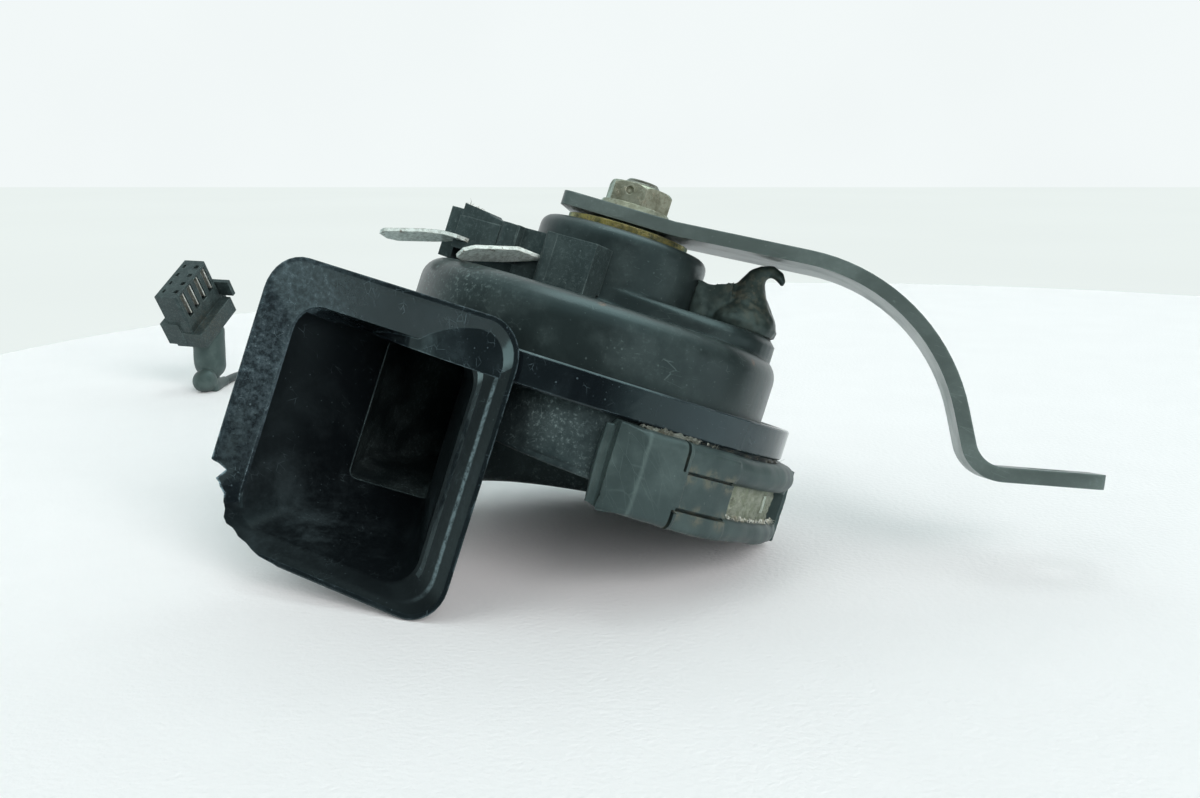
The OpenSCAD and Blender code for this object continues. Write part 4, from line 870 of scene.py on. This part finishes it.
# The block's left end slants down from its ridge to the gap beside it.
BOOT_R, RIDGE_R, RIDGE_TURN, GAP_TURN = 50.4, 52.8, -62.3, -68.9
boot = softened("rubber_boot", 0.00036, 4)
for v in boot.vertices:
    p = UNLAID @ v.co
    past = (RIDGE_TURN - math.degrees(math.atan2(p.y, p.x))) / (RIDGE_TURN - GAP_TURN)
    reach, most = math.hypot(p.x, p.y), lerp(RIDGE_R, BOOT_R + 0.3, past)
    if 0 < past < 1.1 and reach > most:
        v.co = spot(p.x * (most / reach), p.y * (most / reach), p.z)
boot = uneven(uneven(boot, 0.016, 0.0007, 1.0, boot_slack), 0.004, 0.00018, 2.0)

# Two wedges free the flap between block and window. The square cuts are the gap, two slots
# beside the flap, and the window.
FLAP_CUTS = ((-6.2, 0.55, -52.2, 16.6), (-13.4, 0.7, -52.8, 17.2))
SQUARE_CUTS = ((2.2, -19, 1, GAP_TURN - 0.7, 0.8), (1.2, -6, 1, -53.6, 0.7),
               (1.4, -19, -13.4, -53.6, 0.8), (3.4, -13.3, -6.5, -36.6, 41.0))
WEDGE_IN, WEDGE_OUT, WEDGE_THIN = BOOT_R - 1.7, BOOT_R + 4, 0.2
cuts = [turned([(WEDGE_IN, z - WEDGE_THIN), (WEDGE_OUT, z - wide), (WEDGE_OUT, z + wide),
                (WEDGE_IN, z + WEDGE_THIN)], 14, start, sweep)
        for z, wide, start, sweep in FLAP_CUTS]
cuts += [turned([(BOOT_R - deep, low), (BOOT_R + 6, low), (BOOT_R + 6, high),
                 (BOOT_R - deep, high)], 4, start, sweep)
         for deep, low, high, start, sweep in SQUARE_CUTS]
for cut in cuts:
    cut.transform(LAID)
boot = joined(boot, cuts, "DIFFERENCE")

skin = Finish("boot_rubber")
bloom = skin.noise(0.009, 6, 0.62).between(0.40, 0.70)
specks = skin.dots(0.0012, 0.10, 0.0006, 0.08)
GLUE_R, GLUE_REACH = 50, 0.0027
stuck = skin.near(spot(30, -40.5, -3.5), 0.0028)
for turn, z in ((-50, -6.4), (-44, -6.4), (-38, -6.4), (-51, -13.8), (-45, -13.8),
                (-38, -13.8), (-53, -16)):
    a = math.radians(turn)
    glued = spot(GLUE_R * math.cos(a), GLUE_R * math.sin(a), z)
    stuck = stuck.most(skin.near(glued, GLUE_REACH))
stuck = (stuck * 2.2).clamped() * skin.noise(0.0012, 5, 0.7).between(0.40, 0.56)
folds = skin.near(spot(24, -47, -10), 0.013) * skin.scratches(0.002, 0.05, (20, 70, 20), 5)
# A painted highlight runs down the block's ridge as a thin pale line.
a = math.radians(RIDGE_TURN)
round_horn = (spot(-math.sin(a), math.cos(a), 0) - spot(0, 0, 0)).normalized()
across = skin.level(spot(RIDGE_R * math.cos(a), RIDGE_R * math.sin(a), -9), round_horn)
ridge_highlight = across.between(-0.0007, -0.0001) * across.between(0.0006, 0.0) * bloom.most(0.5)
share = bloom * 0.22 + specks * 0.18 + folds * 0.10 + ridge_highlight * 0.45
tone = skin.mix(share.clamped(), (0.025, 0.037, 0.036), (0.13, 0.18, 0.17))
tone = skin.mix(stuck * 0.6, tone, (0.105, 0.10, 0.07))
relief = skin.noise(0.0005, 4, 0.65) * 0.5 + folds + specks * 0.5
put("rubber_cover", smoothed(boot, 60),
    skin.closed(tone, 0.42 + bloom * 0.14, bump=relief, height=0.00006),
    instead=["rubber_boot"])


# Strain relief, sleeve and plug. The lead leaves the boot through a ribbed relief, and ends
# in a soft sleeve over its wires and a nylon plug with four contacts and a side latch.
relief_rubber = rubber_finish("relief_rubber", (0.018, 0.026, 0.026), (0.08, 0.11, 0.11), 0.5)
put("ribbed_relief", smoothed(softened("strain_relief", 0.00020, 2), 60), relief_rubber,
    instead=["strain_relief"])

sleeve = uneven(softened("plug_sleeve", 0.00035, 9), 0.005, 0.0003, 6.0)
skin = Finish("sleeve_rubber")
bloom = skin.noise(0.005, 5, 0.6).between(0.40, 0.70)
share = bloom * 0.35 + skin.specks(0.001, 0.1) * 0.2
tone = skin.mix(share.clamped(), (0.038, 0.056, 0.052), (0.11, 0.15, 0.14))
wire_sleeve = put("wire_sleeve", smoothed(sleeve, 60), skin.closed(
    tone, 0.45 + bloom * 0.1, bump=skin.noise(0.0008, 3), height=0.00005),
    instead=["plug_sleeve"])

skin = Finish("plug_nylon")
haze = skin.noise(0.003, 6, 0.65).between(0.42, 0.68)
powder = skin.noise(0.0006, 5, 0.7).between(0.50, 0.72)
worn_edge = skin.edges(0.0004)
brown = (skin.near((-0.150, 0.185, 0.024), 0.012)
         * skin.noise(0.001, 4, 0.7).between(0.45, 0.62))
share = (haze * 0.09 + powder * 0.16 + skin.specks(0.0009, 0.2) * 0.2
         + worn_edge * 0.28 * (haze + 0.25))
tone = skin.mix(share.clamped(), (0.014, 0.021, 0.021), (0.24, 0.32, 0.31))
tone = skin.mix(brown * 0.4, tone, (0.09, 0.07, 0.045))
dress("plug_housing plug_latch",
      skin.closed(tone, 0.48 + haze * 0.14, bump=powder + haze, height=0.00004, soft=0.0003))
dress("plug_contacts", plating("contact_tin", (0.66, 0.67, 0.62), (0.42, 0.42, 0.37), 0.3))


# Fibres. Torn foam and cloth fibres hang from the boot's window and on its block, burr fuzz
# stands on the terminal block's cut edge, and threads lie in the gap under the collar.
FIBRE_STEPS = 6


def fibres(name, roots, way, length, thick, finish, seed, wild=0.6):
    """Fine three-sided tubes that wander from their roots, drawn upright in millimetres."""
    chance = random.Random(seed)
    vertices, faces = [], []

    def strayed(heading, most, share=1.0):
        return (heading + Vector([chance.uniform(-most, most) for _ in range(3)]) * share
                ).normalized()

    for root in roots:
        first, place, heading = len(vertices), Vector(root), strayed(Vector(way), wild)
        reach = length * chance.uniform(0.4, 1.3) / FIBRE_STEPS
        for k in range(FIBRE_STEPS + 1):
            n = len(vertices)
            side = heading.orthogonal().normalized()
            for j in range(3):
                around = Matrix.Rotation(j * math.tau / 3, 3, heading) @ side
                vertices.append(spot(*(place + around * thick * (1 - k / 8))))
            if k:
                faces += [(n - 3 + j, n - 3 + (j + 1) % 3, n + (j + 1) % 3, n + j)
                          for j in range(3)]
            place = place + heading * reach
            heading = strayed(heading, 0.5, wild)
        faces += [(n, n + 1, n + 2), (first + 2, first + 1, first)]
    mesh = bpy.data.meshes.new(name)
    mesh.from_pydata(vertices, [], faces)
    put(name, smoothed(outward(mesh), 80), finish)


def along_arc(radius, start, end, low, high, count, seed):
    """Places on an arc round the horn's axis, in no order."""
    chance = random.Random(seed)
    angles = [math.radians(chance.uniform(start, end)) for _ in range(count)]
    return [(radius * math.cos(a), radius * math.sin(a), chance.uniform(low, high))
            for a in angles]


def fibre_finish(name, light, dark):
    """Dull fibre whose colour varies along it."""
    fibre = Finish(name)
    tone = fibre.mix(fibre.noise(0.0015, 3).between(0.4, 0.6), light, dark)
    return fibre.closed(tone, 0.9, bump=fibre.noise(0.0002, 2), height=0.00002)


pale_fibre = fibre_finish("loose_fibre", (0.62, 0.66, 0.60), (0.32, 0.31, 0.24))
dark_thread = fibre_finish("dark_thread", (0.05, 0.06, 0.055), (0.20, 0.20, 0.16))
fibres("window_fringe", along_arc(WINDOW_R + 1.0, -36, 2, -12.9, -12.3, 130, 11),
       (0.4, -0.2, -0.7), 1.5, 0.08, pale_fibre, 21)
fibres("foam_shreds", along_arc(WINDOW_R + 0.6, -60, -42, -0.6, 0.0, 40, 12),
       (0.2, -0.3, 0.5), 0.7, 0.06, pale_fibre, 22)
fibres("collar_threads", along_arc(45.4, -52, 4, -0.5, -0.1, 46, 13),
       (0.4, -0.2, -0.3), 2.0, 0.05, dark_thread, 23, 0.9)

# The burrs stand on the longer edges of the terminal block's crest.
BURRS_PER_MM, CREST_DEEP, LONG_EDGE = 1.6, 0.5, 1.5
block_mesh = nodes["terminal_block"].data
block_edges = [[UNLAID @ block_mesh.vertices[i].co for i in edge.vertices]
               for edge in block_mesh.edges]
crest = max(a.z for a, b in block_edges)
crest_edges = [(a, b) for a, b in block_edges
               if min(a.z, b.z) > crest - CREST_DEEP and (a - b).length > LONG_EDGE]
chance = random.Random(14)
burrs = [a.lerp(b, chance.random()) for a, b in crest_edges
         for _ in range(round((a - b).length * BURRS_PER_MM))]
fibres("burr_fuzz", burrs[:70], (0, 0, 1), 0.7, 0.045, pale_fibre, 24, 1.0)
fibres("block_hairs", burrs[::8], (0.3, 0, 0.8), 2.2, 0.05, dark_thread, 25, 1.2)
